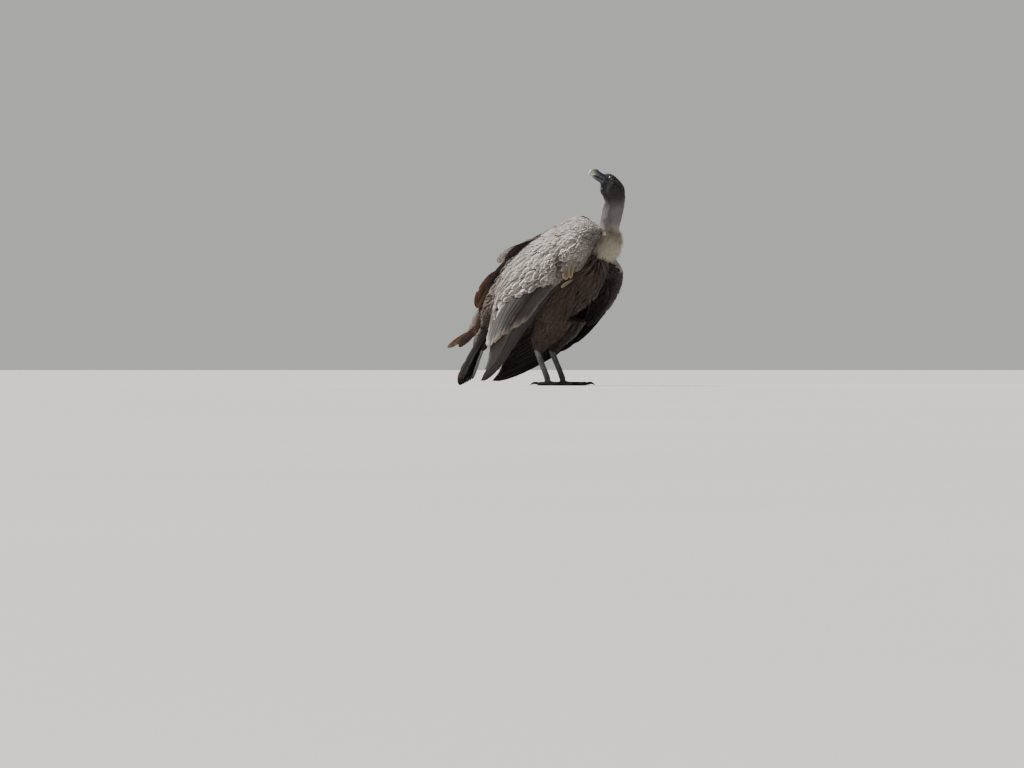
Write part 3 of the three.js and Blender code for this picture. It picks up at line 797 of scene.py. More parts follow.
def joined(pieces, name):
    cleared()
    for piece in pieces:
        piece.select_set(True)
    bpy.context.view_layer.objects.active = pieces[0]
    bpy.ops.object.join()
    pieces[0].name = pieces[0].data.name = name
    return pieces[0]


def applied(piece, kind, **values):
    """Adds a modifier to a piece, with its values, and applies it."""
    cleared()
    piece.select_set(True)
    bpy.context.view_layer.objects.active = piece
    modifier = piece.modifiers.new(kind.lower(), kind)
    for key, value in values.items():
        setattr(modifier, key, value)
    bpy.ops.object.modifier_apply(modifier=modifier.name)


def smoothed(piece):
    for polygon in piece.data.polygons:
        polygon.use_smooth = True
    return piece


def subdivided(piece, chosen, cuts=1):
    """Divides the faces whose corners are all chosen, a mask over the vertices."""
    cleared()
    piece.select_set(True)
    bpy.context.view_layer.objects.active = piece
    bpy.ops.object.mode_set(mode="EDIT")
    bpy.ops.mesh.select_mode(type="VERT")
    bpy.ops.mesh.select_all(action="DESELECT")
    bpy.ops.object.mode_set(mode="OBJECT")
    piece.data.vertices.foreach_set("select", np.asarray(chosen, bool))
    bpy.ops.object.mode_set(mode="EDIT")
    bpy.ops.mesh.select_mode(type="FACE", use_extend=False)
    bpy.ops.mesh.subdivide(number_cuts=cuts, smoothness=0)
    bpy.ops.object.mode_set(mode="OBJECT")


def dressed(piece, material, replaced=()):
    """Finishes a piece: its material, its body and the nodes that it stands for."""
    piece.data.materials.clear()
    piece.data.materials.append(material)
    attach(piece, "root")
    if replaced:
        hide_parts(*replaced)
    return piece


def set_colours(piece, name, colours):
    layer = piece.data.attributes.new(name, "FLOAT_COLOR", "POINT")
    rgba = np.ones((len(colours), 4), np.float32)
    rgba[:, :3] = colours
    layer.data.foreach_set("color", rgba.ravel())


# ---------------------------------------------------------------- the bird's forms
SIDES = {"right": -1, "left": 1}
TRUNK_FORM = Loft(TRUNK, 0.16)
NECK_FORM = Loft(NECK, 0.08)
RUFF_FORM = Loft(RUFF, 0.28)
SKULL_FORM = HeadLoft(SKULL, 0.2)
CERE_FORM = HeadLoft(CERE, 0.12)
UPPER_FORM = HeadLoft(UPPER_BILL, 0.06)
LOWER_FORM = HeadLoft(LOWER_BILL, 0.08)
ARMS = {side: Arm(Wing(side)) for side in SIDES}
COVERT_HANG = {"right": 0.13, "left": 0.0}
MANTLE_FORM = Mantle(ARMS["right"].wing, ARMS["left"].wing, TRUNK_FORM)


def thigh_form(side):
    s = SIDES[side]
    return Loft([
        (KNEE[0], KNEE[1] * s, KNEE[2], 50, 72, 72),
        (30, 70 * s, 214, 42, 58, 56),
        (-2, 73 * s, 166, 28, 36, 36),
        (-22, 74 * s, 122, 16, 18, 18),
    ], 0.12)


def tarsus_form(side):
    s = SIDES[side]
    wide, narrow = TARSUS_RADIUS + 2, TARSUS_RADIUS
    return Loft([
        (HEEL[0], HEEL[1] * s, HEEL[2], wide, wide, wide),
        (-14, 75 * s, 104, narrow, narrow, narrow),
        (8, 76 * s, 52, narrow, narrow, narrow),
        (FOOT_AT[0], FOOT_AT[1] * s, 16, narrow + 1, narrow + 1, narrow + 1),
    ], 0.1)


def toe_end(side, turn, distance, z=TOE_HEIGHT):
    s = SIDES[side]
    angle = math.radians(-turn * s)
    return (FOOT_AT[0] + math.cos(angle) * distance, FOOT_AT[1] * s + math.sin(angle) * distance, z)


def across_toe(side, turn):
    angle = math.radians(-turn * SIDES[side])
    return (-math.sin(angle), math.cos(angle), 0)


def toe_form(side, turn, reach):
    stations = []
    for share, radius, rise in ((0, 1.1, 0), (0.35, 0.95, 0.4), (0.7, 0.95, 0), (1, 0.72, -0.6)):
        r = TOE_RADIUS * radius
        stations.append(toe_end(side, turn, reach * share, TOE_HEIGHT + rise) + (r, r, r))
    return Loft(stations, 0.08, across_toe(side, turn))


def claw_form(side, turn, reach):
    stations = []
    for share, z, radius in ((-0.22, 7.5, 1), (0.3, 9.5, 0.85), (0.65, 7.2, 0.6), (0.95, 1.6, 0.17)):
        r = CLAW_RADIUS * radius
        stations.append(toe_end(side, turn, reach + CLAW_LENGTH * share, z) + (r * 0.8, r, r))
    return Loft(stations, 0.05, across_toe(side, turn))


def pad_surface(side):
    x, y = FOOT_AT[0], FOOT_AT[1] * SIDES[side]

    def surface(t, angle, grow=0.0):
        z = 2 * t - 1
        ring = np.sqrt(np.maximum(1 - z * z, 0))
        return np.stack([x + 15 * ring * np.cos(angle), y + 14 * ring * np.sin(angle), 10 + 10.6 * z], -1)

    return surface


# ---------------------------------------------------------------- skin
def to_head(points):
    """Points in mm in the head's own frame."""
    return (points / MM - SHIFT - HEAD[:3, 3]) @ HEAD[:3, :3]


def from_head(points):
    return metres(in_head(points))


def near_eyes(head_points, reach):
    aside = np.abs(head_points) * (0, 1, 0) + head_points * (1, 0, 1)
    return np.linalg.norm(aside - EYE_AT, axis=1) < reach


def shape_face(points):
    """Lids round the eyes, a brow over them, ear openings and the fold behind the mouth."""
    p = to_head(points)
    side = np.sign(p[:, 1])
    out = np.abs(p[:, 1])
    x, z = p[:, 0] - EYE_AT[0], p[:, 2] - EYE_AT[2]
    opening = (x / 6.6) ** 2 + ((z + 0.14 * x) / 4.9) ** 2
    lid_radius = EYE_RADIUS + 1.5
    over_eye = EYE_AT[1] + np.sqrt(np.maximum(lid_radius**2 - x**2 - z**2, 0))
    hood = 1.6 * np.exp(-(((x - 1) / 11) ** 2) - ((z - 10.5) / 3.2) ** 2)
    crease = -1.3 * np.exp(-(((np.sqrt(opening) - 1.62) / 0.16) ** 2))
    lids = mix(over_eye, out, smooth(opening, 1.5, 3.6)) + crease
    lids = mix(EYE_AT[1] + 3, lids, smooth(opening, 0.86, 1.02))
    facing = (out > 12) & (np.hypot(x, z) < 17)
    out = np.where(facing, lids, out) + np.where(out > 12, hood, 0)
    ear = np.hypot(p[:, 0] + 27, (p[:, 2] + 3) * 0.8)
    opened = 3.5 * (1 - smooth(ear, 1.5, 5.0)) - 0.8 * np.exp(-((ear - 6.5) / 1.6) ** 2)
    out = out - np.where(out > 12, opened, 0)
    gape = np.exp(-(((p[:, 2] + 10.5 + 0.1 * (p[:, 0] - 20)) / 1.5) ** 2)) * smooth(p[:, 0], -2, 14)
    out = out - np.where(out > 5, 1.7 * gape, 0)
    for fold_x, fold_z in ((-2, -13), (-8, -15), (-15, -15)):
        bend = p[:, 0] - fold_x + 0.06 * (p[:, 2] - fold_z) ** 2
        fold = np.exp(-((bend / 1.6) ** 2)) * (1 - smooth(np.abs(p[:, 2] - fold_z), 6, 12))
        out = out - np.where(out > 8, 0.9 * fold, 0)
    p[:, 1] = np.where(side == 0, 0, side * out)
    return from_head(p)


def toe_rings(points):
    """The broad plates across the top of each toe, as small steps."""
    mm = points / MM - SHIFT
    for side in SIDES:
        for turn, reach in TOES.values():
            start = np.array(toe_end(side, turn, 0))
            ahead = unit(np.array(toe_end(side, turn, 1)) - start)
            gone = (mm - start) @ ahead
            aside = np.linalg.norm((mm - start) - gone[:, None] * ahead, axis=1)
            on_top = (gone > 12) & (gone < reach + 4) & (aside < TOE_RADIUS * 1.5) & (mm[:, 2] > TOE_HEIGHT)
            step = (gone / 5.0) % 1.0
            mm[:, 2] += np.where(on_top, 0.9 * (step - 0.5) * smooth(mm[:, 2], TOE_HEIGHT, TOE_HEIGHT + 4), 0)
    return metres(mm)


def wing_skin(arm, depth):
    def surface(t, angle):
        half = along(ARM_THICKNESS, t) / 2
        return arm.surface(t, angle, -np.minimum(depth, half * 0.45))

    return surface


def flesh_parts(sizes):
    """Every form of flesh, each sunk by the depth of the coat over it."""
    body, ruff, neck = (v / MM for v in (sizes.body_depth, sizes.ruff_depth, sizes.neck_depth))
    face, coverts = sizes.face_depth / MM, sizes.covert_depth / MM
    parts = [
        drawn_out("trunk_skin", lambda t, a: TRUNK_FORM.surface(t, a, -body), 72, 64),
        drawn_out("ruff_skin", lambda t, a: RUFF_FORM.surface(t, a, -ruff), 48, 32),
        drawn_out("neck_skin", lambda t, a: NECK_FORM.surface(t, a, -neck), 48, 64),
        drawn_out("skull_skin", lambda t, a: SKULL_FORM.surface(t, a, -face), 64, 64),
    ]
    for side in SIDES:
        thigh, tarsus = thigh_form(side), tarsus_form(side)
        parts.append(drawn_out("arm", wing_skin(ARMS[side], coverts), 96, 96))
        parts.append(drawn_out("thigh", lambda t, a, f=thigh: f.surface(t, a, -body * 0.6), 40, 32))
        parts.append(drawn_out("tarsus", tarsus.surface, 32, 32))
        parts.append(drawn_out("pad", pad_surface(side), 32, 24))
        for turn, reach in TOES.values():
            parts.append(drawn_out("toe", toe_form(side, turn, reach).surface, 24, 40))
    return parts


REGIONS = {
    "trunk": ("trunk",),
    "ruff": ("ruff",),
    "neck": ("neck_lower", "neck_upper"),
    "head": ("head",),
    "thigh": ("thigh_right", "thigh_left"),
    "wing": ("wing_right_coverts", "wing_left_coverts"),
    "leg": ("tarsus_right", "tarsus_left", "foot_right", "foot_left"),
}


def nodes_tree(nodes):
    """A search tree over some CAD nodes' faces, and the node that owns each face."""
    verts, faces, owners = [], [], []
    for node in nodes:
        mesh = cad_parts[node].data
        start = len(verts)
        verts += [v.co.copy() for v in mesh.vertices]
        faces += [[start + i for i in f.vertices] for f in mesh.polygons]
        owners += [node] * len(mesh.polygons)
    return BVHTree.FromPolygons(verts, faces), owners


def region_of(points):
    """The name of the region whose node lies nearest each point."""
    region = {node: name for name, nodes in REGIONS.items() for node in nodes}
    tree, owners = nodes_tree(region)
    return np.array([region[owners[tree.find_nearest(Vector(p))[2]]] for p in points])


def wander(points, scale, seed=0):
    """Soft uneven values, about -1 to 1, over points in mm."""
    rng = np.random.default_rng(seed)
    total = np.zeros(points.shape[:-1])
    for _ in range(6):
        wave = rng.normal(size=3)
        wave *= (0.6 + rng.random()) / (scale * np.linalg.norm(wave))
        total += np.sin(points @ wave * 2 * math.pi + rng.random() * 6.28)
    return total / 3.2


def tufts_apart(places, gap, seed):
    """0 where a place lies in a crease between two rounded tufts of feathers, 1 well inside one."""
    rng = np.random.default_rng(seed)
    centres = []
    for place in places[rng.permutation(len(places))]:
        if not centres or np.linalg.norm(np.array(centres) - place, axis=1).min() > gap:
            centres.append(place)
    away = np.sort(np.linalg.norm(places[:, None] - np.array(centres), axis=2), axis=1)
    return smooth(away[:, 1] - away[:, 0], 0.0, 0.5 * gap)


def body_tint(points, c):
    """The trunk's and thighs' colour: brown mantle above, rufous brown below, in mm, with painted shade over
    the rump between the wings.
    """
    x, z = points[..., 0], points[..., 2]
    axis = np.interp(x, (-250, -100, 80, 206), (192, 310, 425, 478))
    above = smooth(z - axis, -10, 60)[..., None]
    tint = mix(np.array(c.breast), np.array(c.mantle), above)
    # Painted shade: the rump between the wings turns towards the under-wing brown.
    painted_rump_shade = smooth(-x, 60, 170)[..., None]
    tint = mix(tint, np.array(c.under_wing_and_shade), painted_rump_shade * 0.8)
    low = smooth(z, 150, 330)[..., None]
    return tint * mix(0.82, 1.0, low) * (1 + 0.16 * wander(points, 90, 3))[..., None]


def ruff_tint(points, c):
    """Cream, browner low down and in patches; painted shade darkens its top and its rear right side."""
    # low is the real brown at the ruff's base; near and high are painted shade on its rear right side and its
    # top; patch is uneven tone.
    low = smooth(490 - points[..., 2], 0, 50)
    near = smooth(185 - 0.934 * points[..., 0] - 0.358 * points[..., 1], -25, 45)
    high = smooth(points[..., 2], 515, 560)
    patch = smooth(wander(points, 42, 5), 0.1, 0.9)
    share = np.clip(low * 0.35 + near * 0.75 + high * 0.55 + patch * 0.35, 0, 0.92)
    return mix(np.array(c.ruff), np.array(c.ruff_brown_and_shade), share[..., None])


def neck_tint(points, c):
    """Whitish low on the neck, greyer towards the head."""
    high = smooth(points[..., 2], 618, 676)[..., None]
    tint = mix(np.array(c.neck), np.array(c.face), high)
    warm = smooth(596 - points[..., 2], 0, 46)[..., None]
    return mix(tint, np.array(c.ruff), warm * 0.7) * (1 + 0.08 * wander(points, 35, 6))[..., None]


def wing_tint(points, c):
    return np.array(c.covert_core) * (1 + 0.12 * wander(points, 60, 8))[..., None]


def leg_tint(points, c):
    return np.array(c.legs) * (1 + 0.14 * wander(points, 20, 9))[..., None]


def face_tint(points, c):
    """Down tint over the crown, bare skin round the eyes, the mouth and the base of the bill."""
    tint = neck_tint(points, c)
    p = (points - HEAD[:3, 3]) @ HEAD[:3, :3]
    out = np.abs(p[..., 1])
    eye = np.sqrt((p[..., 0] - EYE_AT[0]) ** 2 + (p[..., 2] - EYE_AT[2]) ** 2 + (out - 24) ** 2)
    bare = np.maximum(1 - smooth(eye, 9, 16), smooth(p[..., 0], 22, 36))
    bare = np.maximum(bare, np.exp(-(((p[..., 2] + 11) / 4) ** 2)) * smooth(p[..., 0], -6, 12))
    return mix(tint, np.array(c.skin), bare[..., None])


TINTS = {"trunk": body_tint, "thigh": body_tint, "ruff": ruff_tint, "neck": neck_tint,
         "head": face_tint, "wing": wing_tint, "leg": leg_tint}


def build_skin(sizes, colours):
    piece = joined(flesh_parts(sizes), "skin")
    applied(piece, "REMESH", mode="VOXEL", voxel_size=sizes.skin_voxel, adaptivity=0.0)
    applied(piece, "SMOOTH", factor=0.5, iterations=6)
    region = region_of(points_of(piece))
    subdivided(piece, np.isin(region, ("head", "neck", "leg")))
    applied(piece, "SMOOTH", factor=0.5, iterations=3)
    for reach in (17, 14):
        subdivided(piece, near_eyes(to_head(points_of(piece)), reach))
    set_points(piece, shape_face(points_of(piece)))
    set_points(piece, toe_rings(points_of(piece)))
    points = points_of(piece)
    region = region_of(points)
    mm = points / MM - SHIFT
    tints = np.zeros((len(points), 3))
    for name, tint in TINTS.items():
        here = region == name
        tints[here] = tint(mm[here], colours)
    near_neck = smooth(mm[:, 2], 640, 700)[:, None]
    heads = np.isin(region, ("head", "neck"))
    tints[heads] = mix(neck_tint(mm[heads], colours), face_tint(mm[heads], colours), near_neck[heads])
    set_colours(piece, "tint", tints)
    scaly = piece.data.attributes.new("scaly", "FLOAT", "POINT")
    scaly.data.foreach_set("value", ((region == "leg") * (1 - smooth(mm[:, 2], 96, 118))).astype(np.float32))
    smoothed(piece)
    flesh = [node for nodes in REGIONS.values() for node in nodes]
    return dressed(piece, skin_material(), flesh)


# ---------------------------------------------------------------- bill, eyes and claws
def build_cere(colours):
    def surface(t, angle):
        points = CERE_FORM.surface(t, angle)
        p = (points - HEAD[:3, 3]) @ HEAD[:3, :3]
        side, out = np.sign(p[:, 1]), np.abs(p[:, 1])
        slit = np.hypot((p[:, 0] - 43 - 0.25 * (p[:, 2] - 4)) / 2.2, (p[:, 2] - 4) / 4.6)
        out += 0.9 * np.exp(-(((slit - 1.55) / 0.45) ** 2)) - 5.0 * (1 - smooth(slit, 0.55, 1.15))
        crown = np.exp(-((p[:, 0] - 51) / 4) ** 2)
        p[:, 1] = side * (out + 0.5 * crown * (out > 6))
        p[:, 2] += 0.6 * crown * smooth(p[:, 2], 5, 13)
        return in_head(p)

    piece = smoothed(drawn_out("cere_skin", surface, 96, 96))
    return dressed(piece, cere_material(tuple(colours.cere)), ("cere",))


def bill_surface(form, ridge, flat):
    """A bill's section: a rounded ridge along its top and flat sides down to sharp cutting edges."""
    def surface(t, angle):
        bent = angle - flat * np.sin(2 * angle)
        points = form.surface(t, bent)
        p = (points - HEAD[:3, 3]) @ HEAD[:3, :3]
        p[:, 2] += ridge * np.clip(np.cos(bent), 0, 1) ** 6 * (1 - smooth(t, 0.8, 1))
        return in_head(p)

    return surface


def build_bill(colours):
    base, tip = from_head(np.array((46.0, 0, 4))), from_head(np.array((86.0, 0, -12)))
    horn, pale = tuple(colours.horn), tuple(colours.horn_tip)
    upper = smoothed(drawn_out("bill_upper_horn", bill_surface(UPPER_FORM, 0.8, 0.16), 64, 96))
    finish = horn_material("bill_upper", horn, pale, 0.34, base, tip, (0.38, 0.9))
    dressed(upper, finish, ("bill_upper",))
    lower = smoothed(drawn_out("bill_lower_horn", bill_surface(LOWER_FORM, 0.0, 0.12), 48, 72))
    low_base, low_tip = from_head(np.array((30.0, 0, -13))), from_head(np.array((73.0, 0, -13)))
    finish = horn_material("bill_lower", horn, pale, 0.36, low_base, low_tip, (0.6, 1.5))
    dressed(lower, finish, ("bill_lower",))


def build_eyes(colours):
    material = eye_material(tuple(colours.iris))
    for side, s in SIDES.items():
        piece = ball("eye_ball_" + side, 48, 40)
        co = points_of(piece)
        ring = np.hypot(co[:, 0], co[:, 1])
        bulge = 1.1 * np.clip(1 - (ring / 0.66) ** 2, 0, 1) * (co[:, 2] > 0)
        axis = co[:, 2] * EYE_RADIUS + bulge
        local = np.stack([co[:, 0] * EYE_RADIUS, axis * s, co[:, 1] * EYE_RADIUS], -1)
        centre = np.array((EYE_AT[0], EYE_AT[1] * s, EYE_AT[2]))
        set_points(piece, from_head(local + centre))
        turned_out(piece)
        gaze = piece.data.uv_layers.get("gaze") or piece.data.uv_layers[0]
        gaze.name = "gaze"
        corners = np.empty(len(piece.data.loops), np.int32)
        piece.data.loops.foreach_get("vertex_index", corners)
        behind = np.where(co[:, 2] > 0, 1, 1 / np.maximum(ring, 0.3))
        maps = np.stack([0.5 + 0.5 * co[:, 0] * behind, 0.5 + 0.5 * co[:, 1] * behind], -1)
        gaze.data.foreach_set("uv", maps[corners].astype(np.float32).ravel())
        dressed(smoothed(piece), material, ("eye_" + side,))


def build_claws(colours):
    claws = []
    for side in SIDES:
        for turn, reach in TOES.values():
            form = claw_form(side, turn, reach)
            claws.append(drawn_out("claw", form.surface, 24, 40))
    piece = smoothed(joined(claws, "claws"))
    nodes = [f"claw_{side}_{toe}" for side in SIDES for toe in TOES]
    dark = tuple(colours.claws)
    start, end = metres(np.array((0.0, 0, 14))), metres(np.array((0.0, 0, 0)))
    finish = horn_material("claw_horn", dark, tuple(c * 2.2 for c in dark), 0.3, start, end, (0.5, 1.1))
    return dressed(piece, finish, nodes)


# ---------------------------------------------------------------- feathers
BAKE_PATCH = 0.003


class Plumage:
    """Many small closed vanes gathered into one mesh, with their tints and their two maps."""

    def __init__(self):
        self.blocks = []

    def add(self, points, outward, tint, rim, vane, bake):
        """Points are (feathers, rows, ring, 3) in mm. The other arrays match them or spread over them."""
        count, rows, ring = points.shape[:3]
        middle = rows // 2
        edge = points[:, middle, 1] - points[:, middle, 0]
        ahead = points[:, min(middle + 1, rows - 1), 0] - points[:, middle, 0]
        outside = np.einsum("ij,ij->i", np.cross(edge, ahead), np.broadcast_to(outward, edge.shape)).sum() > 0
        shape = (count, rows, ring)
        self.blocks.append((
            points,
            outside,
            np.broadcast_to(tint, shape + (3,)),
            np.broadcast_to(rim, shape + (3,)),
            np.broadcast_to(vane, shape + (2,)),
            np.broadcast_to(bake, shape + (2,)),
        ))

    def mesh(self, name):
        corners, sizes, verts, start = [], [], [], 0
        for points, outside, *_ in self.blocks:
            count, rows, ring = points.shape[:3]
            r, k = np.meshgrid(np.arange(rows - 1), np.arange(ring), indexing="ij")
            nxt = (k + 1) % ring
            quads = np.stack([r * ring + k, r * ring + nxt, (r + 1) * ring + nxt, (r + 1) * ring + k], -1)
            caps = np.stack([np.arange(ring)[::-1], (rows - 1) * ring + np.arange(ring)])
            quads = quads.reshape(-1, 4)
            if not outside:
                quads, caps = quads[:, ::-1], caps[:, ::-1]
            base = (start + np.arange(count) * rows * ring)[:, None, None]
            corners += [(quads[None] + base).reshape(-1), (caps[None] + base).reshape(-1)]
            sizes += [np.full(count * len(quads), 4), np.full(count * 2, ring)]
            verts.append(points.reshape(-1, 3))
            start += count * rows * ring
        corners, sizes = np.concatenate(corners), np.concatenate(sizes)
        mesh = bpy.data.meshes.new(name)
        mesh.vertices.add(start)
        mesh.vertices.foreach_set("co", metres(np.concatenate(verts)).astype(np.float32).ravel())
        mesh.loops.add(len(corners))
        mesh.loops.foreach_set("vertex_index", corners.astype(np.int32))
        mesh.polygons.add(len(sizes))
        mesh.polygons.foreach_set("loop_start", (np.cumsum(sizes) - sizes).astype(np.int32))
        mesh.polygons.foreach_set("use_smooth", np.ones(len(sizes), bool))
        mesh.update(calc_edges=True)
        for label, index in (("vane", 4), ("OFBake", 5)):
            values = np.concatenate([block[index].reshape(-1, 2) for block in self.blocks])
            layer = mesh.uv_layers.new(name=label)
            layer.data.foreach_set("uv", values[corners].astype(np.float32).ravel())
        piece = bpy.data.objects.new(name, mesh)
        bpy.context.scene.collection.objects.link(piece)
        for label, index in (("tint", 2), ("rim", 3)):
            set_colours(piece, label, np.concatenate([block[index].reshape(-1, 3) for block in self.blocks]))
        return piece


def section(columns):
    """A vane's section: places across it, -1 to 1 on its upper side, then one under its shaft."""
    return np.append(np.linspace(-1, 1, columns), 0.0), np.append(np.ones(columns), 0.0)


def outline(s, root, tip, least=0.05):
    """Share of full width along a vane, from a narrow root to a rounded or pointed tip."""
    ending = np.clip((s - (1 - tip)) / tip, 0, 1)
    return np.maximum(mix(root, 1, smooth(s, 0, 0.32)) * np.sqrt(np.maximum(1 - ending**2, 0)), least)


def scatter(form, span, gaps, arc, rng, jitter=0.28):
    """Roots in staggered rows over a form: gaps(t) gives the steps along and across, in mm."""
    found = []
    ring = np.linspace(arc[0], arc[1], 121)
    whole = abs(arc[1] - arc[0] - 2 * math.pi) < 1e-6
    t, row = span[0], 0
    while t < span[1]:
        step_along, step_across = gaps(t)
        line = form.surface(t, ring)
        lengths = np.concatenate([[0], np.cumsum(np.linalg.norm(np.diff(line, axis=0), axis=1))])
        count = max(int(lengths[-1] / step_across), 4)
        places = (np.arange(count) + (0.5 if row % 2 else 0.0) + jitter * (rng.random(count) - 0.5)) / count
        if not whole:
            places = np.clip(places, 0.004, 0.996)
        angles = np.interp((places % 1.0) * lengths[-1], lengths, ring)
        advance = np.linalg.norm(form.surface(t + 1e-3, ring) - form.surface(t, ring), axis=1).mean() / 1e-3
        delta = step_along / max(advance, 1.0)
        found.append(np.stack([t + delta * jitter * (rng.random(count) - 0.5), angles], -1))
        t += delta
        row += 1
    return np.concatenate(found).T


def lay(plumage, form, t0, a0, rng, length, width, tint, rim, *, flow=1, heading=0.0, under=-4.0, proud=1.0,
        arch=0.12, thick=0.5, rows=6, columns=5, root=0.45, tip=0.5, ragged=0.06, chart=(0, 0, 1, 1),
        flick=0.0, roll=0.08, wave=0.0, rise=0.0, fray=0.0):
    """Lays feathers on a form. Each one follows the surface and rises from its root to its tip."""
    count = len(t0)
    one = (count, 1, 1)
    rise = np.broadcast_to(rise, (count,)).reshape(one)
    length, width = (np.broadcast_to(v, (count,)).reshape(one) for v in (length, width))
    heading = np.broadcast_to(heading, (count,)).reshape(one)
    step = 1e-3
    here = form.surface(t0, a0)
    per_t = np.linalg.norm(form.surface(np.minimum(t0 + step, 1), a0) - here, axis=1) / step
    per_a = np.linalg.norm(form.surface(t0, a0 + step) - here, axis=1) / step
    outward = form.surface(t0, a0, 1.0) - here
    per_t, per_a = (np.maximum(v, 2.0).reshape(one) for v in (per_t, per_a))
    s = (np.linspace(0, 1, rows) ** 0.8).reshape(1, rows, 1)
    across, upper = section(columns)
    across, upper = across.reshape(1, 1, -1), upper.reshape(1, 1, -1)
    half = width / 2 * outline(s, root, tip) * (1 + ragged * rng.normal(size=(count, rows, 1)))
    sweep = wave * np.sin(s * math.pi) * rng.normal(size=one) * length
    x = s * length + np.abs(across) * -0.1 * width * s
    if fray:
        x = x + fray * length * s**6 * rng.normal(size=(count, rows, columns + 1))
    y = across * half + sweep
    run = x * np.cos(heading) - y * np.sin(heading)
    aside = x * np.sin(heading) + y * np.cos(heading)
    t = np.clip(t0.reshape(one) + flow * run / per_t, 0.001, 0.999)
    a = a0.reshape(one) + aside / per_a
    hump = arch * half * (1 - across**2)
    lift = mix(under, proud + rise, s**0.8) + flick * rng.random(one) * np.maximum(s - 0.55, 0) ** 2 * 4
    tilt = roll * rng.normal(size=one) * across * half * s
    above, below = hump + thick * (1 - across**2) * (1 - 0.7 * s), hump - thick * (1 - 0.7 * s)
    grow = lift + np.where(upper > 0, above, below) + tilt
    points = form.surface(t, a, grow)
    vane = np.stack(np.broadcast_arrays(across * 0.5 + 0.5, s, ), -1)
    low_u, low_v, high_u, high_v = chart
    centre = np.stack([
        low_u + (high_u - low_u) * ((a0 / (2 * math.pi)) % 1.0),
        low_v + (high_v - low_v) * np.clip(t0, 0, 1),
    ], -1).reshape(count, 1, 1, 2)
    bake = centre + BAKE_PATCH * (vane - 0.5)
    plumage.add(points, outward, np.asarray(tint).reshape(-1, 1, 1, 3), np.asarray(rim).reshape(-1, 1, 1, 3),
                vane, bake)


def shaded(colours_in, rng, spread):
    """Each feather a little lighter or darker than its neighbours."""
    gain = 1 + spread * rng.normal(size=(len(colours_in), 1))
    return np.asarray(colours_in) * np.clip(gain, 0.6, 1.5)


def outside_of(points, nodes, margin=2.0):
    """Mask of the points, in mm, that lie outside all the named nodes."""
    keep = np.ones(len(points), bool)
    for node in nodes:
        tree, _ = nodes_tree((node,))
        for i, p in enumerate(metres(points)):
            near, normal, _, distance = tree.find_nearest(Vector(p))
            if (Vector(p) - near).dot(normal) < 0 and distance > margin * MM:
                keep[i] = False
    return keep


def build_body_feathers(sizes, c):
    rng = np.random.default_rng(sizes.seed)
    plumage = Plumage()
    size = sizes.body_feather / MM
    t, a = scatter(TRUNK_FORM, (0.004, 0.9), lambda t: (size * 0.24, size * 0.17), (0, 2 * math.pi), rng)
    there = TRUNK_FORM.surface(t, a)
    keep = outside_of(there, ("wing_right_coverts", "wing_left_coverts", "thigh_right", "thigh_left"), 4)
    t, a, there = t[keep], a[keep], there[keep]
    back = np.cos(a) > 0.35
    flank = np.exp(-(((there[:, 0] - 50) / 75) ** 2) - ((there[:, 2] - 300) / 42) ** 2)
    lengths = size * (0.85 + 0.3 * rng.random(len(t))) * mix(0.8, 1.1, smooth(t, 0, 0.7)) * (1 + 0.6 * flank)
    clump = wander(there, 44, 23)
    tint = shaded(body_tint(there, c) * (1 + 0.1 * clump)[:, None], rng, 0.1)
    rim = mix(tint, np.array(c.breast_streak), np.where(back, 0.35, 0.22)[:, None])
    depth = -sizes.body_depth / MM
    lay(plumage, TRUNK_FORM, t, a, rng, lengths, lengths * np.where(back, 0.42, 0.2), tint, rim,
        heading=0.13 * rng.normal(size=len(t)) + 0.12 * wander(there, 60, 24), under=depth * 0.8, proud=1.5,
        rise=2.2 * clump + 6 * flank, tip=0.7, root=0.4, ragged=0.05, flick=5.0, roll=0.2, wave=0.05,
        arch=0.18, fray=0.04)
    piece = plumage.mesh("body_feathers")
    finish = feather_material("body_feathers", rim=0.4, rim_width=0.2, shaft=0.6, barbs=56.0, roughness=0.7,
                              shaft_tone=tuple(c.breast_streak))
    return dressed(piece, finish)


def build_scapulars(sizes, c):
    """Larger feathers of the shoulders, which hide where the wings join the back."""
    rng = np.random.default_rng(sizes.seed + 4)
    plumage = Plumage()
    t, a = scatter(MANTLE_FORM, (0.0, 0.9), lambda t: (mix(14, 24, t), mix(14, 22, t)),
                   (0.02, math.pi - 0.02), rng)
    there = MANTLE_FORM.surface(t, a)
    edge = np.abs(np.cos(a))
    lengths = mix(48, 84, t) * (0.85 + 0.3 * rng.random(len(t)))
    tint = mix(np.array(c.mantle), np.array(c.covert_core), (edge * 0.8)[:, None])
    rear = smooth(t, 0.3, 0.75)[:, None]
    uneven = (1 + 0.1 * wander(there, 80, 14))[:, None]
    tint = shaded(mix(tint, np.array(c.flight), rear * 0.9) * uneven, rng, 0.1)
    rim = mix(np.array(c.coverts), np.array(c.covert_rim), (edge * 0.6)[:, None])
    rim = mix(rim, np.array(c.mantle), rear * 0.7)
    outward = np.where(np.cos(a) > 0, -1, 1) * smooth(edge, 0.5, 1) * 0.22
    lay(plumage, MANTLE_FORM, t, a, rng, lengths, lengths * 0.4, tint, rim,
        heading=outward + 0.12 * rng.normal(size=len(t)), under=-5, proud=4, tip=0.5, root=0.45, ragged=0.05,
        flick=3.0, roll=0.12, arch=0.22, wave=0.02)
    piece = plumage.mesh("scapulars")
    finish = feather_material("scapulars", rim=0.7, rim_width=0.13, core=0.45, shaft=0.4, barbs=56.0,
                              roughness=0.66, shaft_tone=shade(70, 56, 48))
    return dressed(piece, finish)


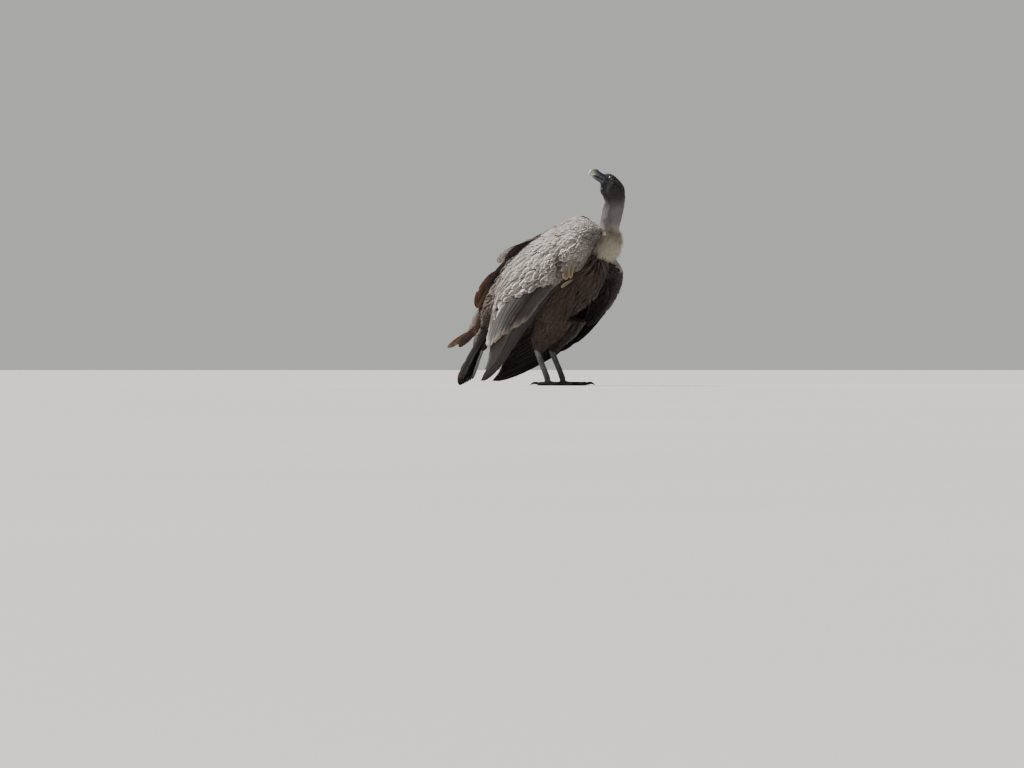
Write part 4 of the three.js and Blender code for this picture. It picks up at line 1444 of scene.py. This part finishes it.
def build_thigh_feathers(sizes, c):
    rng = np.random.default_rng(sizes.seed + 1)
    plumage = Plumage()
    for index, side in enumerate(SIDES):
        form = thigh_form(side)
        t, a = scatter(form, (0.05, 0.93), lambda t: (12, 8), (0, 2 * math.pi), rng)
        there = form.surface(t, a)
        keep = outside_of(there, ("trunk",), 6)
        t, a, there = t[keep], a[keep], there[keep]
        lengths = mix(54, 24, smooth(t, 0.3, 1)) * (0.85 + 0.3 * rng.random(len(t)))
        tint = shaded(body_tint(there, c), rng, 0.1)
        rim = mix(tint, np.array(c.breast_streak), 0.25)
        lay(plumage, form, t, a, rng, lengths, lengths * 0.27, tint, rim,
            heading=0.13 * rng.normal(size=len(t)), under=-6, proud=1.5, tip=0.7, root=0.4, ragged=0.05,
            flick=6.0, roll=0.2, wave=0.04, arch=0.25, chart=(0.5 * index, 0, 0.5 * index + 0.48, 1))
        flank = Flank(side, TRUNK_FORM, form)
        t, a = scatter(flank, (0.02, 0.72), lambda t: (13, 8), (0, math.pi), rng, 0.5)
        there = flank.surface(t, a)
        lengths = 62 * (0.8 + 0.4 * rng.random(len(t)))
        tint = shaded(body_tint(there, c), rng, 0.1)
        rim = mix(tint, np.array(c.breast_streak), 0.22)
        lay(plumage, flank, t, a, rng, lengths, lengths * 0.24, tint, rim,
            heading=0.35 + 0.16 * rng.normal(size=len(t)), under=-7, proud=1.0, tip=0.75, root=0.4,
            ragged=0.06, flick=5.0, roll=0.2, wave=0.05, arch=0.2,
            chart=(0.5 * index, 0, 0.5 * index + 0.48, 1))
    piece = plumage.mesh("thigh_feathers")
    finish = feather_material("thigh_feathers", rim=0.4, rim_width=0.2, shaft=0.25, barbs=50.0,
                              roughness=0.72,
                              shaft_tone=tuple(c.breast_streak))
    return dressed(piece, finish)


COVERT_LENGTH = (16, 24, 34, 46, 58, 72, 86, 92)
COVERT_GAP = (5.6, 7.6, 10.4, 13.4, 17, 21, 24, 26)


# How far apart the middles of the clumps lie, and where the painted shadow lies in the notch of the coverts
# under the wrist.
CLUMP = 33
SHADE_NOTCH_AT = np.array((118, -166, 436))
SHADE_NOTCH_SIZE = np.array((14, 60, 46))


def covert_tints(form, t, a, c, rng, inner, apart):
    there = form.surface(t, a)
    size = smooth(t, 0.2, 0.9)[:, None]
    tint = mix(np.array(c.coverts), np.array(c.covert_core), 0.25 + size * 0.65)
    # Painted shade: the coverts turn towards the under-wing brown along each wing's lower front edge and at
    # the wrist's front, and a painted shadow fills the notch under the right wrist.
    if form.wing.outside < 0:
        painted_shade = smooth(np.cos(a), 0.1, 0.9) * smooth(0.62 - t, 0, 0.3)
        gap = ((there - SHADE_NOTCH_AT) / SHADE_NOTCH_SIZE) ** 2
        painted_shade = np.maximum(painted_shade * 0.8, np.exp(-gap.sum(-1)) * 1.5)
    else:
        painted_shade = smooth(np.cos(a), -0.75, 0.3) * smooth(0.8 - t, 0, 0.35)
    front = smooth(0.14 - t, -0.08, 0.1) * smooth(np.cos(a), -0.6, 0.5) * 0.8
    painted_shade = np.clip(np.maximum(painted_shade, front), 0, 1)[:, None]
    tint = mix(tint, np.array(c.under_wing_and_shade), painted_shade * 0.85)
    rim = mix(np.array(c.covert_rim), np.array(c.under_wing_and_shade) * 1.6, painted_shade)
    # The wander gives uneven tone; the apart factor is painted shade, darker in the creases between tufts.
    tint = tint * ((1 + 0.1 * wander(there, 75, 12)) * mix(0.5, 1.12, apart))[:, None]
    rim = rim * mix(0.52, 1.08, apart)[:, None]
    # The inner face takes the under-wing brown: partly the real darker underside, partly painted shade.
    if inner:
        tint = np.broadcast_to(np.array(c.under_wing_and_shade), tint.shape) * 1.0
        rim = tint * 1.35
    return shaded(tint, rng, 0.09), shaded(rim, rng, 0.05)


def build_coverts(side, sizes, c):
    rng = np.random.default_rng(sizes.seed + 2 + (side == "left"))
    plumage = Plumage()
    form = Arm(ARMS[side].wing, COVERT_HANG[side])
    depth = -sizes.covert_depth / MM
    for inner, arc in ((False, (0.0, math.pi)), (True, (math.pi, 2 * math.pi))):
        def gaps(t):
            gap = float(along(COVERT_GAP, t))
            return (gap * (1.3 if inner else 1.0), gap * (1.25 if inner else 0.92))

        t, a = scatter(form, (0.0004, 0.9), gaps, arc, rng)
        lengths = along(COVERT_LENGTH, t) * (0.88 + 0.24 * rng.random(len(t)))
        shrink = along(ARM_THICKNESS, t) / 66
        there = form.surface(t, a)
        swell = smooth(t, 0.05, 0.25) * np.abs(np.sin(a)) ** 0.5
        apart = tufts_apart(np.stack([t * 370, form.place(t, a)[1] * 215], -1), CLUMP, 21)
        tint, rim = covert_tints(form, t, a, c, rng, inner, mix(1, apart, swell))
        heading = 0.14 * rng.normal(size=len(t)) + 0.16 * wander(there, 46, 22) * swell
        lay(plumage, form, t, a, rng, lengths, lengths * mix(0.6, 0.36, smooth(t, 0.1, 0.8)), tint, rim,
            heading=heading, under=(depth * (0.35 + 0.65 * shrink)).reshape(-1, 1, 1),
            rise=(6.5 * apart - 3.5) * swell,
            proud=1.0, tip=0.5, root=0.5, ragged=0.07, flick=2.4, roll=0.12, arch=0.11, wave=0.03,
            fray=0.035, chart=(0, 0, 1, 0.9))
    add_greater_coverts(plumage, side, rng, c)
    piece = plumage.mesh("coverts_" + side)
    finish = bpy.data.materials.get("covert_vanes") or feather_material(
        "covert_vanes", rim=0.9, rim_width=0.26, core=0.4, shaft=0.4, barbs=52.0, roughness=0.75, sheen=0.15,
        shaft_tone=shade(84, 70, 58))
    return dressed(piece, finish)


RUFF_LAYERS = {
    # length, width, lift at the tips, first and last place, share of the dark tone
    "ruff_under": ((1.3, 2.6, 5.0, 0.1, 0.97, 0.35), (1.1, 2.1, 8.0, 0.06, 0.9, 0.1)),
    "ruff_plumes": ((1.0, 1.7, 12.0, 0.02, 0.84, 0.0), (0.8, 1.4, 14.0, 0.0, 0.62, 0.0)),
    "ruff_skirt": ((0.95, 1.9, 6.0, 0.42, 0.74, 0.15), (0.7, 1.5, 8.0, 0.4, 0.72, 0.0)),
}


class Skirt:
    """The ruff's lower edge carried straight on, where its longest plumes hang over the breast."""

    edge = 0.68

    def surface(self, t, angle, grow=0.0):
        t, angle = np.broadcast_arrays(np.asarray(t, float), np.asarray(angle, float))
        upper = RUFF_FORM.surface(np.minimum(t, self.edge), angle, grow)
        before, at = (RUFF_FORM.surface(place, angle) for place in (self.edge - 0.04, self.edge))
        down = unit(at - before + (-2, 0, 0))
        return upper + down * (130 * np.maximum(t - self.edge, 0))[..., None]


def build_ruff(sizes, c):
    """Layers of fine plumes whose locks lean together, loosest over the breast."""
    rng = np.random.default_rng(sizes.seed + 5)
    size = sizes.ruff_plume / MM
    depth = -sizes.ruff_depth / MM
    finish = down_material("ruff_down")
    seed = 30
    for name, layers in RUFF_LAYERS.items():
        plumage = Plumage()
        form = Skirt() if name == "ruff_skirt" else RUFF_FORM
        for long, width, flick, first, last, dark in layers:
            seed += 1
            t, a = scatter(form, (first, last), lambda t: (3.1, 2.8), (0, 2 * math.pi), rng, 0.8)
            there = form.surface(t, a)
            apart = tufts_apart(there * (1, 1, 0.6), 17, seed)
            tint = mix(ruff_tint(there, c), np.array(c.ruff_brown_and_shade), dark)
            # Painted shade: plumes in the creases between locks are darker.
            tint = shaded(tint * mix(0.6, 1.08, apart)[:, None], rng, 0.1)
            rim = shaded(mix(tint, np.array(c.ruff), 0.2), rng, 0.04)
            lengths = size * long * (0.6 + 0.5 * rng.random(len(t))) * mix(0.75, 1.1, apart)
            loose = 0.3 + 0.7 * smooth(0.934 * there[:, 0] + 0.358 * there[:, 1], 180, 245)
            fluff = flick * (0.2 + 0.6 * loose**3)
            heading = 0.55 * wander(there, 36, 10 + seed) + 0.22 * rng.normal(size=len(t))
            lay(plumage, form, t, a, rng, lengths, width, tint, rim, heading=heading, under=depth * 0.75,
                proud=-2.0, rise=(4.0 * apart - 1.0 + flick * 0.2) * loose, tip=0.95, root=0.6, rows=3,
                columns=2, ragged=0.1, flick=fluff.reshape(-1, 1, 1), roll=0.3, wave=0.12, thick=0.5,
                arch=0.3)
        dressed(plumage.mesh(name), finish)


def build_neck_down(sizes, c):
    rng = np.random.default_rng(sizes.seed + 6)
    plumage = Plumage()
    size = sizes.neck_down / MM
    t, a = scatter(NECK_FORM, (0.2, 0.985), lambda t: (3.7, 3.6), (0, 2 * math.pi), rng, 0.7)
    depth = -sizes.neck_depth / MM
    for _ in range(2):
        there = NECK_FORM.surface(t, a)
        tint = shaded(neck_tint(there, c), rng, 0.07)
        lengths = size * (0.7 + 0.6 * rng.random(len(t))) * mix(1.3, 0.75, smooth(t, 0.3, 0.95))
        lay(plumage, NECK_FORM, t, a, rng, lengths, 1.8, tint, tint * 1.2, flow=-1,
            heading=0.4 * rng.normal(size=len(t)), under=depth * 0.95, proud=-2.2, tip=0.8, root=0.7, rows=4,
            columns=2, ragged=0.08, flick=1.8, roll=0.3, wave=0.06, thick=0.25, arch=0.3)
    piece = plumage.mesh("neck_down")
    return dressed(piece, down_material("neck_down"))


def build_face_down(sizes, c):
    rng = np.random.default_rng(sizes.seed + 7)
    plumage = Plumage()
    size = sizes.face_down / MM
    t, a = scatter(SKULL_FORM, (0.16, 0.985), lambda t: (1.9, 1.8), (0, 2 * math.pi), rng, 0.8)
    there = SKULL_FORM.surface(t, a)
    p = (there - HEAD[:3, 3]) @ HEAD[:3, :3]
    eye = np.sqrt((p[:, 0] - EYE_AT[0]) ** 2 + (p[:, 2] - EYE_AT[2]) ** 2 + (np.abs(p[:, 1]) - 24) ** 2)
    ear = np.hypot(p[:, 0] + 27, p[:, 2] + 3) + 30 * (np.abs(p[:, 1]) < 12)
    mouth = (p[:, 0] > 0) & (np.abs(p[:, 2] + 11) < 4)
    bare = (eye < 12.5) | (p[:, 0] > 31) | mouth | (ear < 4.5)
    keep = ~bare & outside_of(there, ("cere", "bill_upper", "bill_lower", "neck_upper"), 0.5)
    t, a, there = t[keep], a[keep], there[keep]
    tint = shaded(face_tint(there, c), rng, 0.07)
    lengths = size * (0.7 + 0.6 * rng.random(len(t))) * mix(0.7, 1.3, smooth(t, 0.15, 0.9))
    depth = -sizes.face_depth / MM
    lay(plumage, SKULL_FORM, t, a, rng, lengths, 1.5, tint, tint * 1.2, heading=0.3 * rng.normal(size=len(t)),
        under=depth - 0.3, proud=0.0, tip=0.8, root=0.7, rows=3, columns=2, ragged=0.05, flick=0.5, roll=0.2,
        wave=0.04, thick=0.15, arch=0.2)
    piece = plumage.mesh("face_down")
    return dressed(piece, down_material("face_down"))


# ---------------------------------------------------------------- flight and tail feathers
QUILL_ROWS = 26
QUILL_COLUMNS = 9
SECONDARIES = {"count": 13, "across": (0.32, 0.93), "root": 0.34, "tip": (0.93, 0.82), "width": 46,
               "depth": 5}
PRIMARIES = {"count": 8, "across": (0.02, 0.32), "root": 0.3, "tip": (0.985, 0.9), "width": 36, "depth": 9}
TAIL_COUNT = 12
WORN_TAIL_FEATHER = 0
VANE_THICKNESS = 2.0


def quill(plumage, path, width, tint, rim, strip, rng, tip=0.2, tilt=0.0, notches=2, band=(0.01, 0.99),
          fade=None, rim_light_side=0):
    """One large feather along path(t), which gives its line and its directions.

    fade turns its colour to another towards the tip; the last argument paints a rim light, turning the side
    of that sign to the edge's colour.
    """
    s = np.linspace(0, 1, QUILL_ROWS) ** 0.9
    across = np.linspace(-1, 1, QUILL_COLUMNS)
    ring_across = np.concatenate([across, across[1:-1][::-1]])
    upper = np.concatenate([np.ones(QUILL_COLUMNS), -np.ones(QUILL_COLUMNS - 2)])
    at, aside, normal = path(s)
    half = width / 2 * outline(s, 0.6, tip, 0.04)
    left, right = half.copy(), half.copy()
    for edge in (left, right):
        for place in rng.uniform(0.35, 0.92, notches):
            edge *= 1 - rng.uniform(0.1, 0.3) * np.clip(1 - np.abs(s - place) / 0.03, 0, 1)
    reach = np.where(ring_across < 0, left[:, None], right[:, None]) * ring_across
    thin = np.minimum(1, round_end(s, 0.05) + 0.1) * mix(1.0, 0.5, s) * VANE_THICKNESS / 2
    rib = np.exp(-((ring_across / 0.1) ** 2)) * 0.7
    body = np.sqrt(np.maximum(1 - np.abs(ring_across) ** 3, 0.02)) * (0.55 + rib)
    arch = 0.09 * width * (1 - ring_across**2)
    rise = arch + upper * body * thin[:, None] + np.sin(tilt) * reach
    points = at[:, None] + aside[:, None] * reach[..., None] + normal[:, None] * rise[..., None]
    vane = np.stack(np.broadcast_arrays(ring_across * 0.5 + 0.5, s[:, None]), -1)
    bake = np.stack([mix(strip[0], strip[1], vane[..., 0]), mix(band[0], band[1], vane[..., 1])], -1)
    outward = normal[QUILL_ROWS // 2] * upper[1]
    if fade is not None:
        start, far = fade
        tint = mix(np.asarray(tint), np.asarray(far), smooth(s, start, start + 0.22)[:, None, None])[None]
    # Painted rim light along one side of the vane.
    if rim_light_side:
        painted_rim_light = smooth(ring_across * rim_light_side, 0.1, 0.95)[:, None] * smooth(s, 0.1, 0.5)[:, None, None]
        tint = mix(tint, np.asarray(rim), 0.75 * painted_rim_light[None])
    plumage.add(points[None], outward, tint, rim, vane[None], bake[None])


def wing_row(plumage, side, row, tint, rim, rng, strips):
    """A row of flight feathers along a folded wing, each partly over the next one below."""
    wing = ARMS[side].wing
    for i in range(row["count"]):
        share = i / (row["count"] - 1)
        v = mix(*row["across"], share)
        tip = mix(*row["tip"], share) - 0.012 * rng.random()
        under = row["depth"] + 3 * (1 - share)

        def path(s):
            u = mix(row["root"], tip, s)
            _, across, normal = wing.frame(u, np.full_like(u, v))
            within = 0.5 * along(ARM_THICKNESS, u / COVERTS_END) * (u < COVERTS_END)
            sunk = np.maximum(under, within)[:, None]
            return wing.point(u, np.full_like(u, v)) - normal * sunk, across, normal

        own = tint * (1 + 0.12 * rng.normal())
        quill(plumage, path, row["width"], own, rim, next(strips), rng, tip=0.16, tilt=-0.1)


GREATER = {"count": 22, "across": {"right": (0.12, 0.97), "left": (0.12, 0.8)}, "root": 0.08, "reach": 0.165,
           "last": 0.885, "width": 31}
GREATER_BAND = (0.92, 0.99)


def covert_edge(arm, v):
    """How far down the wing the coverts reach at a place across it."""
    t = np.linspace(0.1, 1, 181)
    low = arm.place(t, np.zeros_like(t))[1]
    high = arm.place(t, np.full_like(t, math.pi))[1]
    return COVERTS_END * t[(low <= v) & (v <= high)].max()


def add_greater_coverts(plumage, side, rng, c):
    """The long pale-edged coverts that lie over the bases of the flight feathers."""
    arm = ARMS[side]
    strips = strip_list(GREATER["count"])
    for i in range(GREATER["count"]):
        share = i / (GREATER["count"] - 1)
        v = mix(*GREATER["across"][side], share)
        edge = covert_edge(arm, v)
        root = edge - GREATER["root"]
        tip = min(edge + GREATER["reach"], GREATER["last"]) - 0.02 * rng.random()
        drift = 0.03 * rng.normal()

        def path(s):
            u, across_at = mix(root, tip, s), v + drift * s
            _, across, normal = arm.wing.frame(u, across_at)
            return arm.wing.point(u, across_at) - normal * mix(5.0, -2.2, s)[:, None], across, normal

        rear = smooth(share, 0.35, 0.95)
        paler = mix(0.1, 0.7, rear) + 0.2 * rng.normal()
        tint = mix(np.array(c.flight) * 1.35, np.array(c.covert_core), paler)
        rim = mix(np.array(c.flight_rim) * 1.25, np.array(c.covert_rim), rear) * (1 + 0.15 * rng.normal())
        width = GREATER["width"] * mix(0.8, 1.15, rng.random())
        quill(plumage, path, width, tint, rim, next(strips), rng, tip=0.22, tilt=-0.12, notches=3,
              band=GREATER_BAND)


def free_path(root, tip, lift, roll):
    """A feather's own line from root to tip, raised between them and rolled about it."""
    root, tip = np.array(root, float), np.array(tip, float)
    lengthwise = unit(tip - root)
    outward = unit(np.cross((0, 1, 0), lengthwise))
    outward = outward if outward[2] > 0 else -outward
    turn = Matrix.Rotation(math.radians(roll), 3, Vector(lengthwise))
    normal = np.array(turn @ Vector(outward))
    across = unit(np.cross(normal, lengthwise))

    def path(s):
        line = root + (tip - root) * s[:, None] + outward * (lift * np.sin(math.pi * s))[:, None]
        return line, np.broadcast_to(across, line.shape), np.broadcast_to(normal, line.shape)

    return path


def strip_list(count):
    """Side-by-side strips of the map, one to a feather."""
    return iter([((i + 0.05) / count, (i + 0.95) / count) for i in range(count)])


def build_flight(side, sizes, c):
    rng = np.random.default_rng(sizes.seed + 10 + (side == "left"))
    plumage = Plumage()
    strips = strip_list(SECONDARIES["count"] + PRIMARIES["count"])
    dark, rim = np.array(c.flight), np.array(c.flight_rim)
    wing_row(plumage, side, PRIMARIES, dark * 0.75, rim * 0.6, rng, strips)
    wing_row(plumage, side, SECONDARIES, dark * 1.15, rim, rng, strips)
    piece = plumage.mesh("flight_" + side)
    finish = bpy.data.materials.get("flight_vanes") or feather_material(
        "flight_vanes", rim=0.6, rim_width=0.1, shaft=0.55, barbs=90.0, roughness=0.5, sheen=0.08,
        shaft_tone=shade(36, 30, 28))
    nodes = (f"wing_{side}_secondaries", f"wing_{side}_primaries")
    return dressed(piece, finish, nodes)


def loose_tones(c):
    """Vane, edge and tip colours of each kind of loose feather."""
    dark, rust, pale = np.array(c.shoulder), np.array(c.rust), np.array(c.covert_rim)
    return {
        # The rust in these edges and tips is partly the feathers' own rusty wear and partly painted glow of
        # light shining through them.
        "dark": (dark, mix(dark, rust, 0.4), dark),
        "tan": (mix(dark, np.array(c.tan), 0.6), pale, mix(np.array(c.tan), pale, 0.5)),
        "rust": (mix(dark, rust, 0.15), rust * 1.35, mix(dark, rust, 0.55)),
        "rusty": (dark * 0.7, rust, mix(dark, rust, 0.3)),
        "pale": (mix(dark, rust, 0.3), pale, mix(rust, pale, 0.3)),
        "buff": (np.array(c.coverts) * (0.62, 0.52, 0.36), np.array(c.covert_rim) * (0.7, 0.62, 0.46),
                 np.array(c.coverts) * (0.62, 0.52, 0.36)),
    }


# A loose feather's share of the full length and how far it drops, then the same for the one beneath it.
LOOSE_LAYERS = ((1.0, 0.0), (0.84, -5.0))


def build_loose_feathers(sizes, c):
    """Worn feathers that stand away from the left wing's upper edge, and a few under the right wrist."""
    rng = np.random.default_rng(sizes.seed + 13)
    plumage = Plumage()
    tones = loose_tones(c)
    strips = strip_list(2 * len(LOOSE_FEATHERS))
    for root, tip, width, lift, roll, kind in LOOSE_FEATHERS:
        root, tip = np.array(root, float), np.array(tip, float)
        drop = (0, 0, -9 if kind == "dark" else 0)
        tint, rim, far = tones[kind]
        plain = kind == "buff"
        for share, drift in LOOSE_LAYERS[:1] if plain else LOOSE_LAYERS:
            end = mix(root, tip, share) + (drift * 0.3, -1.5 + 0.3 * drift, drift) + drop
            gain = 1 + 0.1 * rng.normal()
            path = free_path(root + drop, end, lift, roll + 1.5 * drift)
            # The upper side of each loose feather gets a painted rim light.
            upper_edge = 1 if path(np.zeros(1))[1][0, 2] > 0 else -1
            quill(plumage, path, width * (0.5 + 0.5 * share), tint * gain, rim * gain, next(strips), rng,
                  tip=0.3, notches=0 if plain else 2, fade=(0.6, far * gain), rim_light_side=upper_edge)
    piece = plumage.mesh("loose_feathers")
    finish = feather_material("loose", rim=0.75, rim_width=0.2, core=0.35, shaft=0.4, barbs=60.0,
                              roughness=0.6, shaft_tone=tuple(c.flight))
    return dressed(piece, finish)


def build_tail(sizes, c):
    rng = np.random.default_rng(sizes.seed + 14)
    plumage = Plumage()
    root, tip = np.array(TAIL_ROOT, float), np.array(TAIL_TIP, float)
    spine = tip - root
    outward = unit(np.array((spine[2], 0, -spine[0])))
    outward = outward if outward[0] < 0 else -outward
    strips = strip_list(TAIL_COUNT)
    order = sorted(range(TAIL_COUNT), key=lambda i: -abs(2 * i - TAIL_COUNT + 1))
    for i in order:
        share = 2 * i / (TAIL_COUNT - 1) - 1
        turn = math.radians(TAIL_FAN * share)
        reach = mix(1, TAIL_OUTER, abs(share))
        end = root + spine * reach * math.cos(turn) + (0, np.linalg.norm(spine) * reach * math.sin(turn), 0)
        lower = outward * (-7 * abs(share) ** 1.5)
        tint = np.array(c.flight) * (0.85 + 0.1 * rng.normal())
        worn = (0.8, np.array(c.rust) * 1.1) if i == WORN_TAIL_FEATHER else None
        quill(plumage, free_path(root + lower, end + lower, 6, -8 * share), 46, tint,
              np.array(c.flight_rim), next(strips), rng, tip=0.16, notches=3, fade=worn)
    piece = plumage.mesh("tail_feathers")
    finish = feather_material("tail", rim=0.5, rim_width=0.12, shaft=0.5, barbs=90.0, roughness=0.5,
                              shaft_tone=shade(30, 26, 25))
    return dressed(piece, finish, ("tail",))


# ---------------------------------------------------------------- stage
PICTURE_WIDTH = 1024
PIXEL_MM = 3.55
SENSOR_WIDTH = 36
AIM = (-135.0, 5.6)
KEY_TOWARDS = (1.0, 0.68, -1.3)


def soft_light(name, place, target, size, power, tint=(1, 1, 1)):
    light = bpy.data.lights.new(name, "AREA")
    light.shape, light.size, light.energy, light.color = "DISK", size, power, tint
    lamp = bpy.data.objects.new(name, light)
    bpy.context.scene.collection.objects.link(lamp)
    lamp.location = place
    lamp.rotation_euler = (Vector(target) - Vector(place)).to_track_quat("-Z", "Y").to_euler()
    return lamp


def build_stage(stage):
    cleared()
    bpy.ops.mesh.primitive_plane_add(size=600, location=(0, 0, 0))
    floor = bpy.context.object
    floor.name = floor.data.name = "floor"
    floor.data.materials.append(floor_material(tuple(stage.floor)))

    right = Vector((math.cos(stage.azimuth), math.sin(stage.azimuth), 0))
    back = Vector((math.sin(stage.azimuth), -math.cos(stage.azimuth), 0))
    offset = Vector(SHIFT * MM)
    target = right * (AIM[0] * MM + right.dot(offset)) + Vector((0, 0, AIM[1] * MM))
    place = target + back * stage.distance
    place.z = stage.eye_height
    data = bpy.data.cameras.new("camera")
    data.sensor_width = SENSOR_WIDTH
    data.lens = stage.distance / MM * SENSOR_WIDTH / (PICTURE_WIDTH * PIXEL_MM)
    camera = bpy.data.objects.new("camera", data)
    bpy.context.scene.collection.objects.link(camera)
    camera.location = place
    camera.rotation_euler = (target - place).to_track_quat("-Z", "Y").to_euler()
    bpy.context.scene.camera = camera

    middle = (0, 0, 0.4)
    sun = bpy.data.lights.new("key", "SUN")
    sun.energy, sun.angle, sun.color = stage.key, stage.key_softness, (1, 0.97, 0.93)
    lamp = bpy.data.objects.new("key", sun)
    bpy.context.scene.collection.objects.link(lamp)
    aside, nearer, up = KEY_TOWARDS
    shining = right * aside + back * nearer + Vector((0, 0, up))
    lamp.rotation_euler = shining.to_track_quat("-Z", "Y").to_euler()
    soft_light("fill", back * 3 - right * 0.6 + Vector((0, 0, 1.5)), middle, 3.0, stage.fill, (0.88, 0.93, 1))
    soft_light("back", right * 2.0 - back * 2.2 + Vector((0, 0, 1.8)), middle, 1.6, stage.back)
    world = bpy.data.worlds.new("studio")
    world.use_nodes = True
    n = Nodes(world.node_tree)
    background = world.node_tree.nodes["Background"]
    background.inputs["Color"].default_value = tuple(stage.floor) + (1,)
    seen = n.add("LightPath").outputs["Is Camera Ray"]
    n.set(background.inputs["Strength"], n.span(seen, 0.0, 1.0, stage.air, stage.backdrop))
    bpy.context.scene.world = world


# ---------------------------------------------------------------- add-on
class PieceBuilder:
    """What the builders share: each runs its work with the scene's settings."""

    def execute(self, context):
        self.build(context.scene.vulture_sizes, context.scene.vulture_colours)
        return {"FINISHED"}


class VULTURE_OT_skin(PieceBuilder, bpy.types.Operator):
    """One skin over all flesh"""

    bl_idname = "vulture.skin"
    bl_label = "Skin"

    def build(self, sizes, colours):
        build_skin(sizes, colours)


class VULTURE_OT_cere(PieceBuilder, bpy.types.Operator):
    """The waxy skin with the nostrils"""

    bl_idname = "vulture.cere"
    bl_label = "Cere"

    def build(self, sizes, colours):
        build_cere(colours)


class VULTURE_OT_bill(PieceBuilder, bpy.types.Operator):
    """Both halves of the bill"""

    bl_idname = "vulture.bill"
    bl_label = "Bill"

    def build(self, sizes, colours):
        build_bill(colours)


class VULTURE_OT_eyes(PieceBuilder, bpy.types.Operator):
    """Both eyes"""

    bl_idname = "vulture.eyes"
    bl_label = "Eyes"

    def build(self, sizes, colours):
        build_eyes(colours)


class VULTURE_OT_claws(PieceBuilder, bpy.types.Operator):
    """All eight claws"""

    bl_idname = "vulture.claws"
    bl_label = "Claws"

    def build(self, sizes, colours):
        build_claws(colours)


class VULTURE_OT_flight(PieceBuilder, bpy.types.Operator):
    """Primaries and secondaries"""

    bl_idname = "vulture.flight"
    bl_label = "Flight feathers"

    def build(self, sizes, colours):
        for side in SIDES:
            build_flight(side, sizes, colours)


class VULTURE_OT_tail(PieceBuilder, bpy.types.Operator):
    """The tail feathers"""

    bl_idname = "vulture.tail"
    bl_label = "Tail"

    def build(self, sizes, colours):
        build_tail(sizes, colours)


class VULTURE_OT_loose(PieceBuilder, bpy.types.Operator):
    """Worn feathers over the left wing"""

    bl_idname = "vulture.loose"
    bl_label = "Loose feathers"

    def build(self, sizes, colours):
        build_loose_feathers(sizes, colours)


class VULTURE_OT_coverts(PieceBuilder, bpy.types.Operator):
    """The coverts of both wings"""

    bl_idname = "vulture.coverts"
    bl_label = "Coverts"

    def build(self, sizes, colours):
        for side in SIDES:
            build_coverts(side, sizes, colours)


class VULTURE_OT_body(PieceBuilder, bpy.types.Operator):
    """Feathers of the trunk"""

    bl_idname = "vulture.body"
    bl_label = "Body feathers"

    def build(self, sizes, colours):
        build_body_feathers(sizes, colours)


class VULTURE_OT_scapulars(PieceBuilder, bpy.types.Operator):
    """Feathers of the shoulders"""

    bl_idname = "vulture.scapulars"
    bl_label = "Scapulars"

    def build(self, sizes, colours):
        build_scapulars(sizes, colours)


class VULTURE_OT_thighs(PieceBuilder, bpy.types.Operator):
    """Feathers of both thighs"""

    bl_idname = "vulture.thighs"
    bl_label = "Thigh feathers"

    def build(self, sizes, colours):
        build_thigh_feathers(sizes, colours)


class VULTURE_OT_ruff(PieceBuilder, bpy.types.Operator):
    """The plumes round the base of the neck"""

    bl_idname = "vulture.ruff"
    bl_label = "Ruff"

    def build(self, sizes, colours):
        build_ruff(sizes, colours)


class VULTURE_OT_neck(PieceBuilder, bpy.types.Operator):
    """Down on the neck"""

    bl_idname = "vulture.neck"
    bl_label = "Neck down"

    def build(self, sizes, colours):
        build_neck_down(sizes, colours)


class VULTURE_OT_face(PieceBuilder, bpy.types.Operator):
    """Short down on the head"""

    bl_idname = "vulture.face"
    bl_label = "Face down"

    def build(self, sizes, colours):
        build_face_down(sizes, colours)


class VULTURE_OT_stage(bpy.types.Operator):
    """The floor, the lights and the camera"""

    bl_idname = "vulture.stage"
    bl_label = "Stage"

    def execute(self, context):
        build_stage(context.scene.vulture_stage)
        return {"FINISHED"}


PIECES = (
    VULTURE_OT_skin, VULTURE_OT_cere, VULTURE_OT_bill, VULTURE_OT_eyes, VULTURE_OT_claws, VULTURE_OT_flight,
    VULTURE_OT_tail, VULTURE_OT_loose, VULTURE_OT_coverts, VULTURE_OT_body, VULTURE_OT_scapulars,
    VULTURE_OT_thighs, VULTURE_OT_ruff, VULTURE_OT_neck, VULTURE_OT_face,
)


class VULTURE_PT_panel(bpy.types.Panel):
    """Lists the vulture's builders and settings"""

    bl_idname = "VULTURE_PT_panel"
    bl_label = "Griffon vulture"
    bl_space_type = "VIEW_3D"
    bl_region_type = "UI"
    bl_category = "Vulture"

    def draw(self, context):
        for operator in PIECES:
            self.layout.operator(operator.bl_idname)
        self.layout.operator(VULTURE_OT_stage.bl_idname)
        for name in SETTINGS:
            settings = getattr(context.scene, name)
            box = self.layout.box()
            for field in settings.__annotations__:
                box.prop(settings, field)


SETTINGS = {"vulture_sizes": VultureSizes, "vulture_colours": VultureColours, "vulture_stage": VultureStage}
CLASSES = (*SETTINGS.values(), *PIECES, VULTURE_OT_stage, VULTURE_PT_panel)


def register():
    for item in CLASSES:
        bpy.utils.register_class(item)
    for name, kind in SETTINGS.items():
        setattr(bpy.types.Scene, name, bpy.props.PointerProperty(type=kind))


def unregister():
    for name in SETTINGS:
        delattr(bpy.types.Scene, name)
    for item in reversed(CLASSES):
        bpy.utils.unregister_class(item)


def main():
    register()
    bpy.ops.vulture.stage()
    for operator in PIECES:
        getattr(bpy.ops.vulture, operator.bl_idname.split(".")[1])()


if __name__ == "__main__":
    main()
